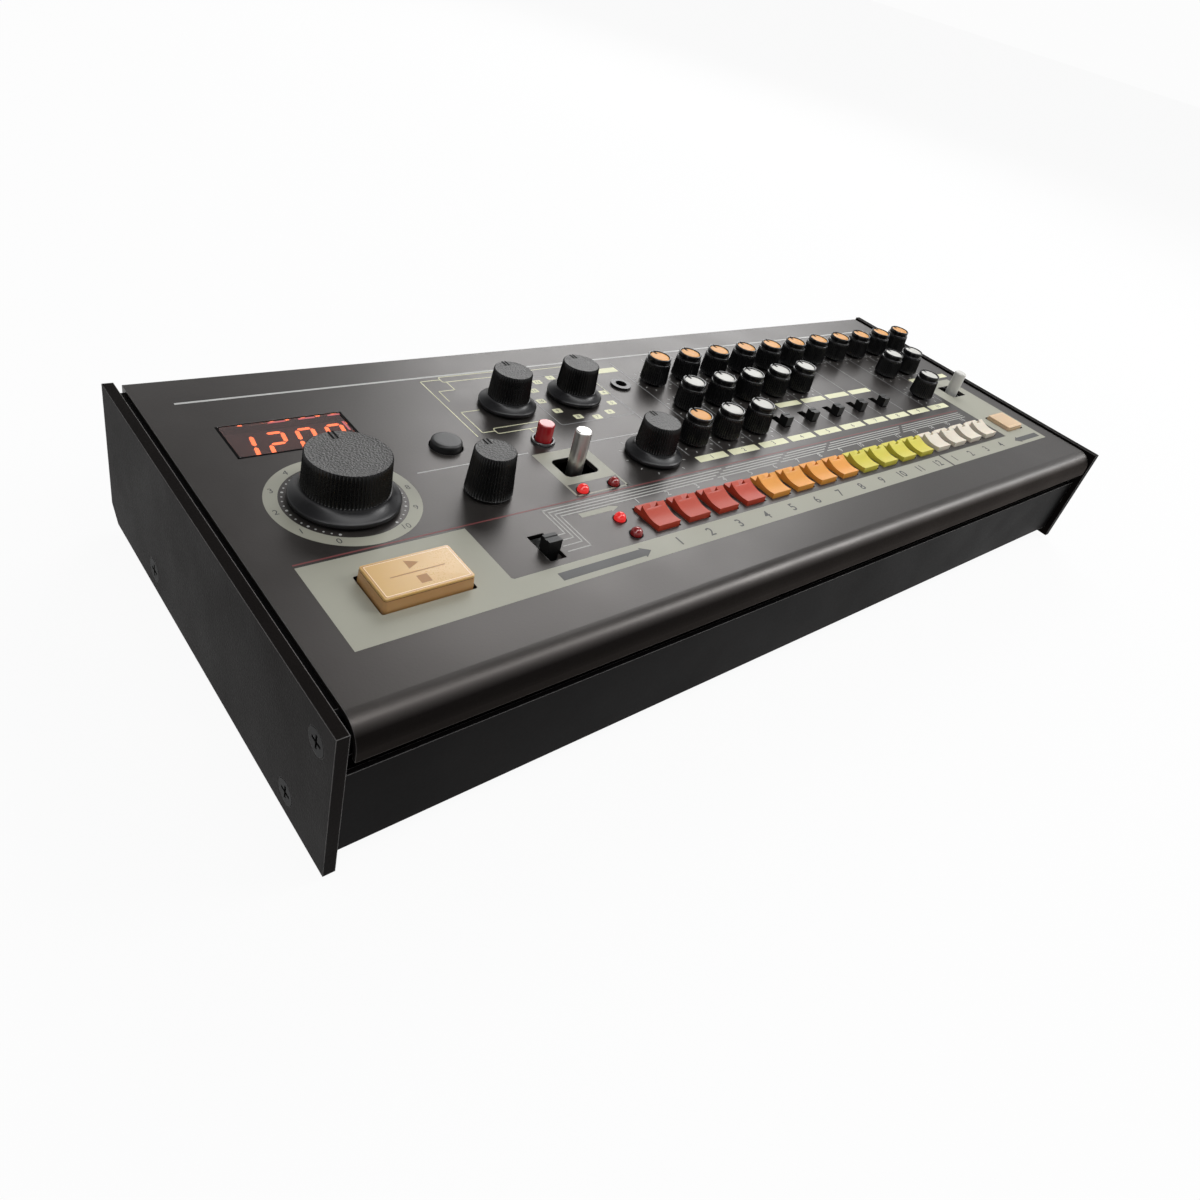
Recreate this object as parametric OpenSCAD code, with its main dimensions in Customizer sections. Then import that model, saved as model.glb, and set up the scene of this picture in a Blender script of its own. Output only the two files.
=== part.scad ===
// Compact desktop drum machine: a flat metal box with 27 knobs, 16 step keys, push buttons,
// slide switches and two short levers on its top panel.
// Millimetres, +Z up, +X to the right, +Y to the back. The origin is the middle of the outline,
// on the surface that the rubber feet stand on. Places on the panel are given as (x, v, z):
// x from the left side plate's outer face, v from the side plates' front edge to the back,
// and z from the top panel's upper face.

/* [Case] */
// Width over both side plates
case_w = 308; // [304:1:320]
// Depth of the side plates
plate_d = 120.8; // [119.8:0.2:126]
// Height of the side plates
plate_h = 37.8; // [36.8:0.2:44]
// Thickness of a side plate
plate_t = 2.5; // [2:0.1:3]
// How far the side plates stand above the top panel
plate_proud = 0.5; // [0.2:0.1:1]
// Gap between a side plate and the top panel's edge
plate_gap = 1.6; // [1.3:0.1:2]
// Chamfer at the lower rear corner of a side plate
plate_chamfer = 4; // [2:0.5:5]
// Sheet thickness of the top panel
panel_t = 1.2; // [1:0.1:1.5]
// Outer radius of the top panel's rolled front edge
roll_r = 5.5; // [4:0.5:6.5]
// Drop of the rolled front edge
roll_drop = 7.7; // [7.2:0.1:9]
// Sheet thickness of the lower case
tray_t = 1.2; // [1:0.1:1.5]
// Set-back of the lower case's front wall
tray_set = 2.2; // [2:0.1:3]
// Top of the lower case's front wall, below the panel
tray_top = 13; // [11:0.5:14]
// Height of the gap under the lower case's floor, above the plates' lower edge
tray_lift = 2.8; // [2:0.1:3.5]
// Width of the ledges that the top panel lies on
ledge_w = 6; // [5:0.5:7]
// How far the feet reach below the side plates
foot_out = 1.6; // [1:0.1:3]
// Radius of a rubber foot
foot_r = 6; // [5:0.5:8]

/* [Knobs] */
// Gap between a knob and the panel
knob_gap = 0.7; // [0.5:0.1:0.9]
// Radius of a control's shaft
shaft_r = 2.4; // [2:0.1:2.6]
// Height of the small knobs above the panel
small_h = 9.2; // [8:0.2:11]
// Base radius of the small knobs
small_r = 5; // [4.8:0.1:5.3]
// Rim radius of the small knobs
small_top_r = 3.9; // [3.7:0.1:4.3]
// Radius of the coloured disc in a small knob
disc_r = 3.1; // [2.7:0.1:3.3]
// Height of the tempo knob above the panel
tempo_h = 12.1; // [11:0.1:15]
// Skirt radius of the tempo knob
tempo_skirt_r = 12.2; // [11.5:0.1:12.8]
// Body radius of the tempo knob
tempo_r = 9.6; // [9:0.1:10]
// Height of the value knob above the panel
value_h = 11.8; // [9:0.2:14]
// Base radius of the value knob
value_r = 5.85; // [5.5:0.05:6.2]
// Height of the skirted knobs above the panel
skirted_h = 11.2; // [9.5:0.2:13]
// Skirt radius of the skirted knobs
skirt_r = 8.2; // [7.6:0.1:8.5]
// Body radius of the skirted knobs at the skirt
skirted_r = 5.9; // [5.4:0.1:6.2]

/* [Knob places] */
// Middle of the first voice column, from the left
col_x0 = 138.3; // [138:0.1:138.6]
// Middle of the last voice column, from the right
col_right = 14.38; // [14.3:0.02:15]
// Rear row of small knobs, from the front
row_rear_v = 92; // [91.5:0.1:93]
// Middle row of small knobs, from the front
row_mid_v = 75.2; // [74.5:0.1:76]
// Front row of small knobs, from the front
row_front_v = 57.8; // [57.5:0.1:58.5]
// Tempo knob, from the left
tempo_x = 31.5; // [31:0.1:33]
// Tempo knob, from the front
tempo_v = 61.7; // [61:0.1:63]
// Value knob, from the left
value_x = 64.3; // [63.5:0.1:65]
// Value knob, from the front
value_v = 54.3; // [53.5:0.1:55]
// First selector, from the left
mode_x = 93.2; // [92.5:0.1:94]
// Second selector, from the left
voice_x = 117.3; // [117:0.1:117.6]
// Both selectors, from the front
selector_v = 89.4; // [89:0.1:90]
// Volume knob, from the left
volume_x = 119.7; // [119.4:0.1:120]
// Volume knob, from the front
volume_v = 55.1; // [54.5:0.1:56]

/* [Keys and buttons] */
// Clear width between two step keys
key_space = 3.54; // [3.4:0.02:4]
// Middle of the last step key, from the right
key_right = 41.1; // [40.8:0.1:42]
// Middle of the first step key, from the left
key_x0 = 99.8; // [99.5:0.1:100]
// Front edge of the step keys, from the front
key_v0 = 26.2; // [26:0.1:26.6]
// Depth of a step key
key_d = 9.5; // [9:0.1:9.8]
// Height of a step key's front edge
key_front_h = 1.4; // [1.2:0.1:2]
// Height of a step key's rear edge
key_rear_h = 2.7; // [2.2:0.1:3.4]
// Travel of a step key
key_travel = 0.9; // [0.6:0.1:1]
// Gap around a key or button in its opening
key_gap = 0.4; // [0.3:0.05:0.5]
// Length of the start button's cap
start_l = 20.8; // [19:0.1:21]
// Depth of the start button's cap
start_w = 11.6; // [11:0.1:12]
// Height of the start button above the panel
start_h = 3; // [2.4:0.1:4]
// Length of the tap button's cap
tap_l = 11.4; // [10.5:0.1:11.8]
// Depth of the tap button's cap
tap_w = 9.8; // [9:0.1:10.2]
// Height of the tap button above the panel
tap_h = 2.6; // [2:0.1:3.5]
// Radius of the clear button
clear_r = 2.15; // [1.8:0.05:2.4]
// Height of the clear button above the panel
clear_h = 5.6; // [4:0.2:7]
// Radius of the function button
func_r = 4; // [3.5:0.1:4.4]
// Height of the function button above the panel
func_h = 2; // [1.5:0.1:3]
// Travel of the buttons
button_travel = 1; // [0.6:0.1:1.2]

/* [Levers and slides] */
// Radius of the variation lever
var_r = 2.2; // [1.8:0.1:2.4]
// Height of the variation lever above the panel
var_h = 11.6; // [9:0.2:12]
// Radius of the fill-in lever
fill_r = 2.3; // [1.9:0.1:2.4]
// Height of the fill-in lever above the panel
fill_h = 8.5; // [7:0.5:11]
// Tilt of a lever to each side, in degrees
lever_tilt = 11; // [8:1:12]
// Depth of a lever's pivot below the panel
pivot_z = 9; // [8.5:0.5:9]
// Width of the scale slide's cap
scale_w = 3.8; // [3.4:0.1:4]
// Travel of the scale slide, over four places
scale_travel = 6; // [4.5:0.5:6]
// Width of a voice slide's cap
slide_w = 2.6; // [2.2:0.1:3]
// Travel of a voice slide
slide_travel = 3.4; // [2.5:0.1:3.6]
// Height of the slides above the panel
slide_h = 2.8; // [2:0.2:3.5]

/* [Display, lamps and sockets] */
// Length of the display window
window_l = 29.4; // [28:0.2:30]
// Depth of the display window
window_w = 13.4; // [12.5:0.1:14]
// Radius of an indicator lamp
lamp_r = 1.55; // [1.3:0.05:1.8]
// Plug radius of the 3.5 mm sockets, with their running gap
jack_bore_r = 1.8; // [1.76:0.01:1.9]
// Bore radius of the round five-pin sockets
din_bore_r = 6.7; // [6.4:0.1:6.9]
// How far the round sockets reach behind the side plates
socket_out = 2; // [1:0.2:4]

/* [Hidden] */

$fn = 48;
eps = 0.01;                                  // overlap of a cut past a face
fit = 0.3;                                   // gap between a moving piece and its guide
seat = 0.15;                                 // gap of a fixed piece in its hole
hole_gap = 0.9;                              // gap between a shaft and the panel's hole

// Levels, measured from the top panel's upper face
below = plate_h - plate_proud;               // panel face down to the plates' lower edge
panel_z = below + foot_out;                  // panel face above the table
tray_z = -(below - tray_lift);               // underside of the lower case
board_t = 1.6;                               // thickness of the circuit board
board_z = -13;                               // upper face of the circuit board
pot_top = -6.6;                              // top of a control's body on the board
shaft_z = pot_top - 2.6;                     // lower end of a control's shaft
switch_top = -9.6;                           // top of a push switch's body

// Plan of the case
depth = plate_d + socket_out;                // whole depth, sockets included
panel_x0 = plate_t + plate_gap;              // left edge of the top panel
panel_w = case_w - 2 * panel_x0;             // width of the top panel
panel_v0 = 0.3;                              // front face of the rolled edge
panel_v1 = plate_d - 0.6;                    // rear face of the top panel
rear_drop = 7;                               // drop of the top panel's rear fold
wall_v = panel_v1 - panel_t - 0.3;           // outer face of the lower case's rear wall
board_edge = 10;                             // board edge, in from the side plates
board_v0 = 9;                                // front edge of the board
post_edge = 6;                               // posts, in from the board's rear edge
post_in = 20;                                // outer posts, in from the side plates
post_v = 20;                                 // front posts, from the front

// Places on the panel
row_v = [row_front_v, row_mid_v, row_rear_v];
columns = 12;
col_span = case_w - col_right - col_x0;
col_pitch = round(100 * col_span / (columns - 1)) / 100;    // distance between voice columns
key_count = 16;
key_span = case_w - key_right - key_x0;
key_pitch = round(100 * key_span / (key_count - 1)) / 100;  // distance between step keys
key_w = key_pitch - key_space;               // width of a step key
small_knobs = [[0, 0], [1, 2], [1, 1], [1, 0], [2, 2], [2, 1], [2, 0], [3, 2], [3, 1], [4, 2],
    [4, 1], [5, 2], [5, 1], [6, 2], [7, 2], [8, 2], [9, 2], [9, 1], [9, 0], [10, 2], [10, 1], [11, 2]];
slide_cols = [3, 4, 5, 6, 7];                // voice columns with a slide switch
slide_v = 56.8;                              // resting place of the voice slides
scale_x = 65;                                // scale slide, from the left
scale_v = 29.8;                              // resting place of the scale slide
scale_back = scale_travel / 3;               // its way to the front from there
start_x = 31.8;
start_v = 30.7;
tap_right = 21.2;                            // tap button, from the right
tap_x = case_w - tap_right;
tap_v = 31.1;
clear_x = 92.3;
clear_v = 70.4;
func_x = 65.2;
func_v = 75.3;
var_x = 93.4;
var_v = 57.2;
fill_right = 20.8;                           // fill-in lever, from the right
fill_x = case_w - fill_right;
fill_v = 56.2;
window_x = 32;
window_v = 90.4;
lamp_places = [[88.1, 47], [98.5, 47], [89.5, 33.6], [89.5, 27.1]];
trigger_x = 138.5;
trigger_v = 92.1;
big_knobs = [[tempo_x, tempo_v], [value_x, value_v], [mode_x, selector_v],
    [voice_x, selector_v], [volume_x, volume_v]];

// Guides and stops under the panel
flange = 0.8;                                // how far a stop flange reaches past its opening
flange_t = 1;                                // thickness of a stop flange
flange_z = -panel_t - 0.35 - flange_t;       // underside of a stop flange at rest
plunger_r = 1.4;                             // plunger under a key or button
plunger_z = switch_top - 0.8;                // its lower end at rest
lever_slot = ceil(20 * (fill_r + pivot_z * tan(lever_tilt)) + 14) / 10;
var_slot_more = 1.4;                         // extra length of the variation slot
var_slot_room = 3.8;                         // variation slot's width over the lever
fill_slot_room = 3.2;                        // fill-in slot's width over the lever
housing_room = 5;                            // housing's inner length over the lever
housing_top = 3;                             // housing's top above the pivot
housing_t = 1.5;                             // wall of a lever's housing
pin_r = 1.1;                                 // a lever's pivot pin
lever_foot = -11;                            // lower end of a lever
slide_len = 2.6;                             // length of a slide's cap along its travel
slide_foot = -8.6;                           // lower end of a slide's stem
slide_top = -6;                              // top of a slide switch's body

// Rear sockets
socket_z = -21;                              // middle of the rear sockets
din_in_right = 102;                          // round input socket, from the right
din_out_right = 76;                          // round output socket, from the right
din_xs = [case_w - din_in_right, case_w - din_out_right];
jack_xs = [60, 78, 96];                      // 3.5 mm sockets, from the left
usb_right = 136;                             // data and power socket, from the right
usb_x = case_w - usb_right;
din_r = 7.9;                                 // barrel of a round socket
din_len = 14;                                // depth of a round socket behind the wall
board_v1 = wall_v - din_len - 1.7;           // rear edge of the board, clear of the sockets
jack_r = 3;                                  // barrel of a 3.5 mm socket
jack_len = 14;                               // depth of a 3.5 mm socket's bore
jack_case = 8;                               // width of a 3.5 mm socket's body
usb_w = 8.4;
usb_h = 3.6;

// Screws and feet
screw_up = 5.7;                              // low screws, above the plates' lower edge
screw_places = [[6.5, -6.5], [16.9, screw_up - below], [89.3, screw_up - below]];
screw_r = 1.4;
head_r = 2.9;
head_t = 1.5;
screw_len = 7;
foot_x = 24;
foot_v = 16;

black = [0.07, 0.07, 0.075];
charcoal = [0.27, 0.265, 0.27];
steel = [0.72, 0.72, 0.74];
orange = [0.93, 0.62, 0.3];
white = [0.93, 0.93, 0.9];
amber = [0.95, 0.74, 0.45];
key_colours = [[0.82, 0.3, 0.25], [0.93, 0.55, 0.25], [0.86, 0.84, 0.3], [0.93, 0.9, 0.84]];

function col_x(k) = col_x0 + k * col_pitch;
function key_x(i) = key_x0 + i * key_pitch;

// Places children by panel coordinates
module at(x, v, z = 0) {
    translate([x - case_w / 2, v - depth / 2, panel_z + z]) children();
}

// A plate with rounded upright edges, standing on z = 0
module rounded_block(l, w, h, r) {
    translate([-l / 2 + r, -w / 2, 0]) cube([l - 2 * r, w, h]);
    translate([-l / 2, -w / 2 + r, 0]) cube([l, w - 2 * r, h]);
    for (sx = [-1, 1], sy = [-1, 1])
        translate([sx * (l / 2 - r), sy * (w / 2 - r), 0]) cylinder(r = r, h = h);
}

// ---- Case ----

// Side view of the top panel: flat sheet, rolled front edge and short rear fold
module panel_profile() {
    square_v = panel_v1 - panel_v0;
    translate([panel_v0 + roll_r, -panel_t]) square([square_v - roll_r, panel_t]);
    translate([panel_v0, -roll_drop]) square([panel_t, roll_drop - roll_r]);
    translate([panel_v1 - panel_t, -rear_drop]) square([panel_t, rear_drop]);
    intersection() {
        translate([panel_v0 + roll_r, -roll_r]) difference() {
            circle(r = roll_r);
            circle(r = roll_r - panel_t);
        }
        translate([panel_v0, -roll_r]) square([roll_r, roll_r]);
    }
}

// A cut through the top panel that is round, or a rounded rectangle
module panel_hole(x, v, r) {
    at(x, v, -panel_t - 1) cylinder(r = r, h = panel_t + 2);
}

module panel_slot(x, v, l, w, r) {
    at(x, v, -panel_t - 1) rounded_block(l, w, panel_t + 2, r);
}

module top_panel() {
    color(charcoal) difference() {
        at(panel_x0, 0) rotate([90, 0, 90]) linear_extrude(panel_w) panel_profile();
        for (p = small_knobs) panel_hole(col_x(p[0]), row_v[p[1]], shaft_r + hole_gap);
        for (p = big_knobs) panel_hole(p[0], p[1], shaft_r + hole_gap);
        for (p = lamp_places) panel_hole(p[0], p[1], lamp_r + fit);
        for (i = [0 : key_count - 1])
            panel_slot(key_x(i), key_v0 + key_d / 2, key_w + 2 * key_gap, key_d + 2 * key_gap, 0.3);
        panel_slot(start_x, start_v, start_l + 2 * key_gap, start_w + 2 * key_gap, 0.5);
        panel_slot(tap_x, tap_v, tap_l + 2 * key_gap, tap_w + 2 * key_gap, 0.4);
        panel_slot(window_x, window_v, window_l + 2 * seat, window_w + 2 * seat, 0.8);
        panel_slot(var_x, var_v, lever_slot + var_slot_more, 2 * var_r + var_slot_room, 1.6);
        panel_slot(fill_x, fill_v, lever_slot, 2 * fill_r + fill_slot_room, 0.6);
        slide_opening(scale_x, scale_v, scale_w, scale_travel, scale_back);
        for (k = slide_cols) slide_opening(col_x(k), slide_v, slide_w, slide_travel, 0);
        panel_hole(clear_x, clear_v, clear_r + key_gap);
        panel_hole(func_x, func_v, func_r + key_gap);
        panel_hole(trigger_x, trigger_v, jack_r + seat);
    }
    // Threaded ring round the clear button
    color(steel) at(clear_x, clear_v) difference() {
        cylinder(r = clear_r + 1.1, h = 0.7);
        translate([0, 0, -1]) cylinder(r = clear_r + key_gap + 0.1, h = 3);
    }
}

// The opening of a slide switch: back is its way to the front from its resting place
module slide_opening(x, v, w, travel, back) {
    mid = v - back + travel / 2;
    panel_slot(x, mid, w + 2 * fit + 0.2, travel + slide_len + 2 * fit + 0.4, 0.3);
}

module bottom_case() {
    side_x = [plate_t, case_w - plate_t - tray_t];
    ledge_x = [plate_t, case_w - plate_t - ledge_w];
    ledge_z = -panel_t - tray_t;
    wall_h = ledge_z - tray_z + tray_t;
    tray_w = case_w - 2 * plate_t;
    color(black) difference() {
        union() {
            at(plate_t, tray_set, tray_z) cube([tray_w, wall_v - tray_set, tray_t]);
            at(plate_t, tray_set, tray_z) cube([tray_w, tray_t, -tray_top - tray_z]);
            at(plate_t, wall_v - tray_t, tray_z) cube([tray_w, tray_t, wall_h]);
            for (x = side_x) at(x, tray_set, tray_z) cube([tray_t, wall_v - tray_set, -tray_top - tray_z]);
            for (x = side_x) at(x, roll_r + 2, tray_z) cube([tray_t, wall_v - roll_r - 2, wall_h]);
            for (x = ledge_x) at(x, roll_r + 2, ledge_z) cube([ledge_w, wall_v - roll_r - 2, tray_t]);
            at(plate_t, wall_v - ledge_w, ledge_z) cube([tray_w, ledge_w, tray_t]);
            // Strip behind the shadow gap under the rolled edge
            at(plate_t, roll_r + 2, -tray_top - 3) cube([tray_w, tray_t, tray_top + 3 + ledge_z + tray_t]);
            at(plate_t, tray_set, -tray_top - 3) cube([tray_w, roll_r + 2 - tray_set, tray_t]);
            board_posts(3, tray_z, board_z - board_t);
        }
        side_screw_holes(screw_r + seat);
        board_posts(screw_r, tray_z + 3, board_z);
        for (x = din_xs) at(x, wall_v - 5, socket_z) rotate([-90, 0, 0]) cylinder(r = din_r + seat, h = 9);
        for (x = jack_xs) at(x, wall_v - 5, socket_z) rotate([-90, 0, 0]) cylinder(r = jack_r + seat, h = 9);
        at(usb_x - usb_w / 2 - seat, wall_v - 5, socket_z - usb_h / 2 - seat)
            cube([usb_w + 2 * seat, 9, usb_h + 2 * seat]);
    }
}

// Posts under the circuit board, or their screw holes
module board_posts(r, z0, z1) {
    for (x = [post_in, case_w / 2, case_w - post_in], v = [post_v, board_v1 - post_edge])
        at(x, v, z0) cylinder(r = r, h = z1 - z0);
}

module side_screw_holes(r) {
    for (p = screw_places, s = [-1, 1])
        at(case_w / 2 + s * (case_w / 2 + 1), p[0], p[1]) rotate([0, -90 * s, 0]) cylinder(r = r, h = 12);
}

// Outline of a side plate in (v, z), with the lower rear corner cut off
module plate_outline() {
    polygon([[0, plate_proud], [0, -below], [plate_d - plate_chamfer, -below],
        [plate_d, -below + plate_chamfer], [plate_d, plate_proud]]);
}

module side_plates() {
    color(black) difference() {
        for (x = [0, case_w - plate_t]) at(x, 0) rotate([90, 0, 90]) linear_extrude(plate_t) plate_outline();
        side_screw_holes(screw_r + seat);
        for (p = screw_places, s = [-1, 1])
            at(case_w / 2 + s * (case_w / 2 + eps), p[0], p[1]) rotate([0, -90 * s, 0])
                cylinder(r1 = head_r + seat, r2 = screw_r + seat, h = head_t + seat);
    }
}

module case_screws() {
    color(black) for (p = screw_places, s = [-1, 1])
        at(case_w / 2 + s * case_w / 2, p[0], p[1]) rotate([0, -90 * s, 0]) difference() {
            union() {
                cylinder(r1 = head_r, r2 = screw_r, h = head_t);
                translate([0, 0, head_t - eps]) cylinder(r = screw_r, h = screw_len - head_t);
            }
            for (a = [0, 90]) rotate([0, 0, a]) translate([-1.7, -0.35, -eps]) cube([3.4, 0.7, 0.9]);
        }
}

module rubber_feet() {
    foot_h = tray_lift + foot_out;
    color(black) for (x = [foot_x, case_w - foot_x], v = [foot_v, plate_d - foot_v])
        at(x, v, tray_z - foot_h) rotate_extrude()
            polygon([[0, 0], [foot_r - 0.8, 0], [foot_r, 0.8], [foot_r, foot_h], [0, foot_h]]);
}

// ---- Inside ----

// Body of a rotary control, with the bore that its shaft turns in
module pot_body(x, v) {
    pot_h = pot_top - board_z;
    at(x, v, board_z) difference() {
        translate([-4.7, -4.7, 0]) cube([9.4, 9.4, pot_h]);
        translate([0, 0, shaft_z - board_z - fit]) cylinder(r = shaft_r + fit, h = pot_h);
    }
}

// Body of a push switch, with the bore that its plunger moves in
module push_body(x, v) {
    at(x, v, board_z) difference() {
        translate([-3, -3, 0]) cube([6, 6, switch_top - board_z]);
        translate([0, 0, plunger_z - board_z - button_travel - fit])
            cylinder(r = plunger_r + fit, h = 9);
    }
}

// Body of a slide switch, open along the stem's way
module slide_body(x, v, w, travel, back) {
    at(x, v - back, board_z) difference() {
        translate([-w / 2 - 1.6, -slide_len / 2 - 1.6, 0])
            cube([w + 3.2, travel + slide_len + 3.2, slide_top - board_z]);
        translate([-w / 2 - fit, -slide_len / 2 - fit, slide_foot - board_z - fit])
            cube([w + 2 * fit, travel + slide_len + 2 * fit, 9]);
    }
}

// Housing of a lever, with the bores of its pivot pin
module lever_housing(x, v, r) {
    inner_v = 2 * r + 2 * fit;
    inner_x = 2 * r + housing_room;
    at(x, v, 0) difference() {
        translate([-inner_x / 2 - housing_t, -inner_v / 2 - housing_t, board_z])
            cube([inner_x + 2 * housing_t, inner_v + 2 * housing_t, housing_top - pivot_z - board_z]);
        translate([-inner_x / 2, -inner_v / 2, lever_foot - 1]) cube([inner_x, inner_v, -board_z]);
        translate([0, 0, -pivot_z]) rotate([90, 0, 0])
            cylinder(r = pin_r + fit, h = inner_v + 2 * housing_t + 2, center = true);
    }
}

module circuit_board() {
    board_w = case_w - 2 * board_edge;
    color([0.05, 0.28, 0.14]) difference() {
        at(board_edge, board_v0, board_z - board_t) cube([board_w, board_v1 - board_v0, board_t]);
        board_posts(screw_r + 0.2, board_z - board_t - 1, board_z + 1);
    }
    color(steel) {
        for (p = small_knobs) pot_body(col_x(p[0]), row_v[p[1]]);
        for (p = big_knobs) pot_body(p[0], p[1]);
    }
    color(black) {
        for (i = [0 : key_count - 1]) push_body(key_x(i), key_v0 + key_d / 2);
        push_body(start_x, start_v);
        push_body(tap_x, tap_v);
        push_body(clear_x, clear_v);
        push_body(func_x, func_v);
        slide_body(scale_x, scale_v, scale_w, scale_travel, scale_back);
        for (k = slide_cols) slide_body(col_x(k), slide_v, slide_w, slide_travel, 0);
        lever_housing(var_x, var_v, var_r);
        lever_housing(fill_x, fill_v, fill_r);
    }
}

// Smoked window, flush in the panel, with the digit block under it on the board
module display_module() {
    window_t = panel_t + 1;
    color([0.1, 0.02, 0.02]) {
        at(window_x, window_v, -window_t - 0.15) rounded_block(window_l, window_w, window_t, 0.7);
        at(window_x, window_v, board_z)
            rounded_block(window_l - 2, window_w - 2, -window_t - 0.15 - board_z, 0.7);
    }
}

// Lamps: a domed body through the panel, standing on the board
module indicator_lamps() {
    color([0.75, 0.05, 0.05]) for (p = lamp_places) at(p[0], p[1]) rotate_extrude()
        polygon(concat([[0, board_z], [lamp_r, board_z]],
            [for (a = [0 : 15 : 90]) [lamp_r * cos(a), 0.3 + lamp_r * sin(a)]]));
}

// Round five-pin socket in the rear wall; its bore takes the plug's shell
module din_socket(x) {
    rear = plate_d + socket_out - wall_v;
    at(x, wall_v, socket_z) rotate([-90, 0, 0]) difference() {
        rotate_extrude() polygon([[0, -din_len], [din_r, -din_len], [din_r, 0], [din_r + 1.3, 0],
            [din_r + 1.3, 1.2], [din_r, 1.2], [din_r, rear - 0.4], [din_r - 0.4, rear],
            [din_bore_r, rear], [din_bore_r, rear - 9], [0, rear - 9]]);
        for (a = [0, 45, 90, 135, 180]) rotate([0, 0, a]) translate([4.4, 0, rear - 9 - 5])
            cylinder(r = 0.8, h = 6);
    }
}

// A 3.5 mm socket: threaded barrel, nut and body, with its plug bore
module jack_socket(barrel) {
    difference() {
        union() {
            cylinder(r = jack_r, h = barrel);
            translate([0, 0, barrel - 1.6]) cylinder(r = jack_r + 0.1, h = 1.6);
            translate([-jack_case / 2, -jack_case / 2, -jack_len]) cube([jack_case, jack_case, jack_len]);
        }
        translate([0, 0, 1.6 + barrel - jack_len]) cylinder(r = jack_bore_r, h = jack_len + 2);
    }
}

module sockets() {
    color(black) {
        for (x = din_xs) din_socket(x);
        for (x = jack_xs) at(x, wall_v - tray_t, socket_z) rotate([-90, 0, 0]) jack_socket(tray_t + 1.6);
        at(trigger_x, trigger_v, -panel_t - 2) trigger_socket();
        at(usb_x, wall_v - tray_t - 6, socket_z) usb_socket();
    }
}

// Trigger socket: collar on the panel, barrel through it and body on the circuit board
module trigger_socket() {
    body_h = -panel_t - 2 - board_z;
    collar_z = panel_t + 2;
    difference() {
        union() {
            translate([-3.6, -3.6, -body_h]) cube([7.2, 7.2, body_h]);
            cylinder(r = jack_r, h = collar_z + 0.3);
            translate([0, 0, collar_z]) cylinder(r = jack_r + 0.35, h = 0.7);
        }
        translate([0, 0, -body_h + 0.6]) cylinder(r = jack_bore_r, h = 20);
    }
}

module usb_socket() {
    difference() {
        union() {
            translate([-usb_w / 2 - 2, 0, -usb_h / 2 - 2]) cube([usb_w + 4, 6, usb_h + 4]);
            translate([-usb_w / 2, 6 - eps, -usb_h / 2]) cube([usb_w, tray_t + 0.6, usb_h]);
        }
        translate([-usb_w / 2 + 0.6, 2, -usb_h / 2 + 0.7]) cube([usb_w - 1.2, 9, usb_h - 1.4]);
    }
}

// ---- Buttons, keys, levers and slides ----

// Stop flange, plunger and cap of a push button, all one moulding
module button_stem(l, w) {
    translate([-l / 2 - flange, -w / 2 - flange, flange_z])
        cube([l + 2 * flange, w + 2 * flange, flange_t]);
    translate([0, 0, plunger_z]) cylinder(r = plunger_r, h = flange_z - plunger_z + eps);
}

// Rectangular cap, drawn in by taper at its top
module block_cap(l, w, h, taper) {
    rounded_base = 0.9;
    translate([0, 0, flange_z + flange_t - eps])
        rounded_block(l, w, -flange_z - flange_t + 0.2, rounded_base);
    hull() for (sx = [-1, 1], sy = [-1, 1]) {
        translate([sx * (l / 2 - rounded_base), sy * (w / 2 - rounded_base), 0.2 - eps])
            cylinder(r = rounded_base, h = h / 3, $fn = 32);
        translate([sx * (l / 2 - taper - 0.5), sy * (w / 2 - taper - 0.5), h - 0.5])
            cylinder(r = 0.5, h = 0.5, $fn = 32);
    }
}

module start_button() {
    color(amber) at(start_x, start_v) {
        button_stem(start_l, start_w);
        block_cap(start_l, start_w, start_h, 0.6);
    }
}

module tap_button() {
    color(amber) at(tap_x, tap_v) {
        button_stem(tap_l, tap_w);
        block_cap(tap_l, tap_w, tap_h, 0.5);
    }
}

// Round cap with a rounded top edge
module round_cap(r, h, edge) {
    rotate_extrude() polygon(concat([[0, plunger_z], [plunger_r, plunger_z], [plunger_r, flange_z],
        [r + flange, flange_z], [r + flange, flange_z + flange_t], [r, flange_z + flange_t]],
        [for (a = [0 : 15 : 90]) [r - edge + edge * cos(a), h - edge + edge * sin(a)]], [[0, h]]));
}

module clear_button() {
    color([0.72, 0.1, 0.12]) at(clear_x, clear_v) round_cap(clear_r, clear_h, 0.35);
}

module function_button() {
    color(black) at(func_x, func_v) round_cap(func_r, func_h, 0.7);
}

// Side view of a step key in (v, z): front face, scooped top, raised rear edge and lamp shelf
module key_profile() {
    shelf = 2.2;
    shelf_h = 1;
    dip = 0.75;
    top_d = key_d - shelf;
    scoop = [for (t = [0 : 0.1 : 1])
        [t * top_d, key_front_h + (key_rear_h - key_front_h) * t - dip * sin(180 * t)]];
    polygon(concat([[0, flange_z]], scoop, [[top_d, shelf_h], [key_d, shelf_h], [key_d, flange_z]]));
}

// Step key i, counted from 0 at the left; its colour changes after every fourth key
module step_key(i) {
    notch_w = 2.4;
    color(key_colours[floor(i / 4)]) at(key_x(i), key_v0) {
        difference() {
            translate([-key_w / 2, 0, 0]) rotate([90, 0, 90]) linear_extrude(key_w) key_profile();
            translate([-notch_w / 2, key_d - 3.2, 1]) cube([notch_w, 1.2, 4]);
        }
        translate([0, key_d / 2, 0]) button_stem(key_w, key_d);
    }
}

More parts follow.
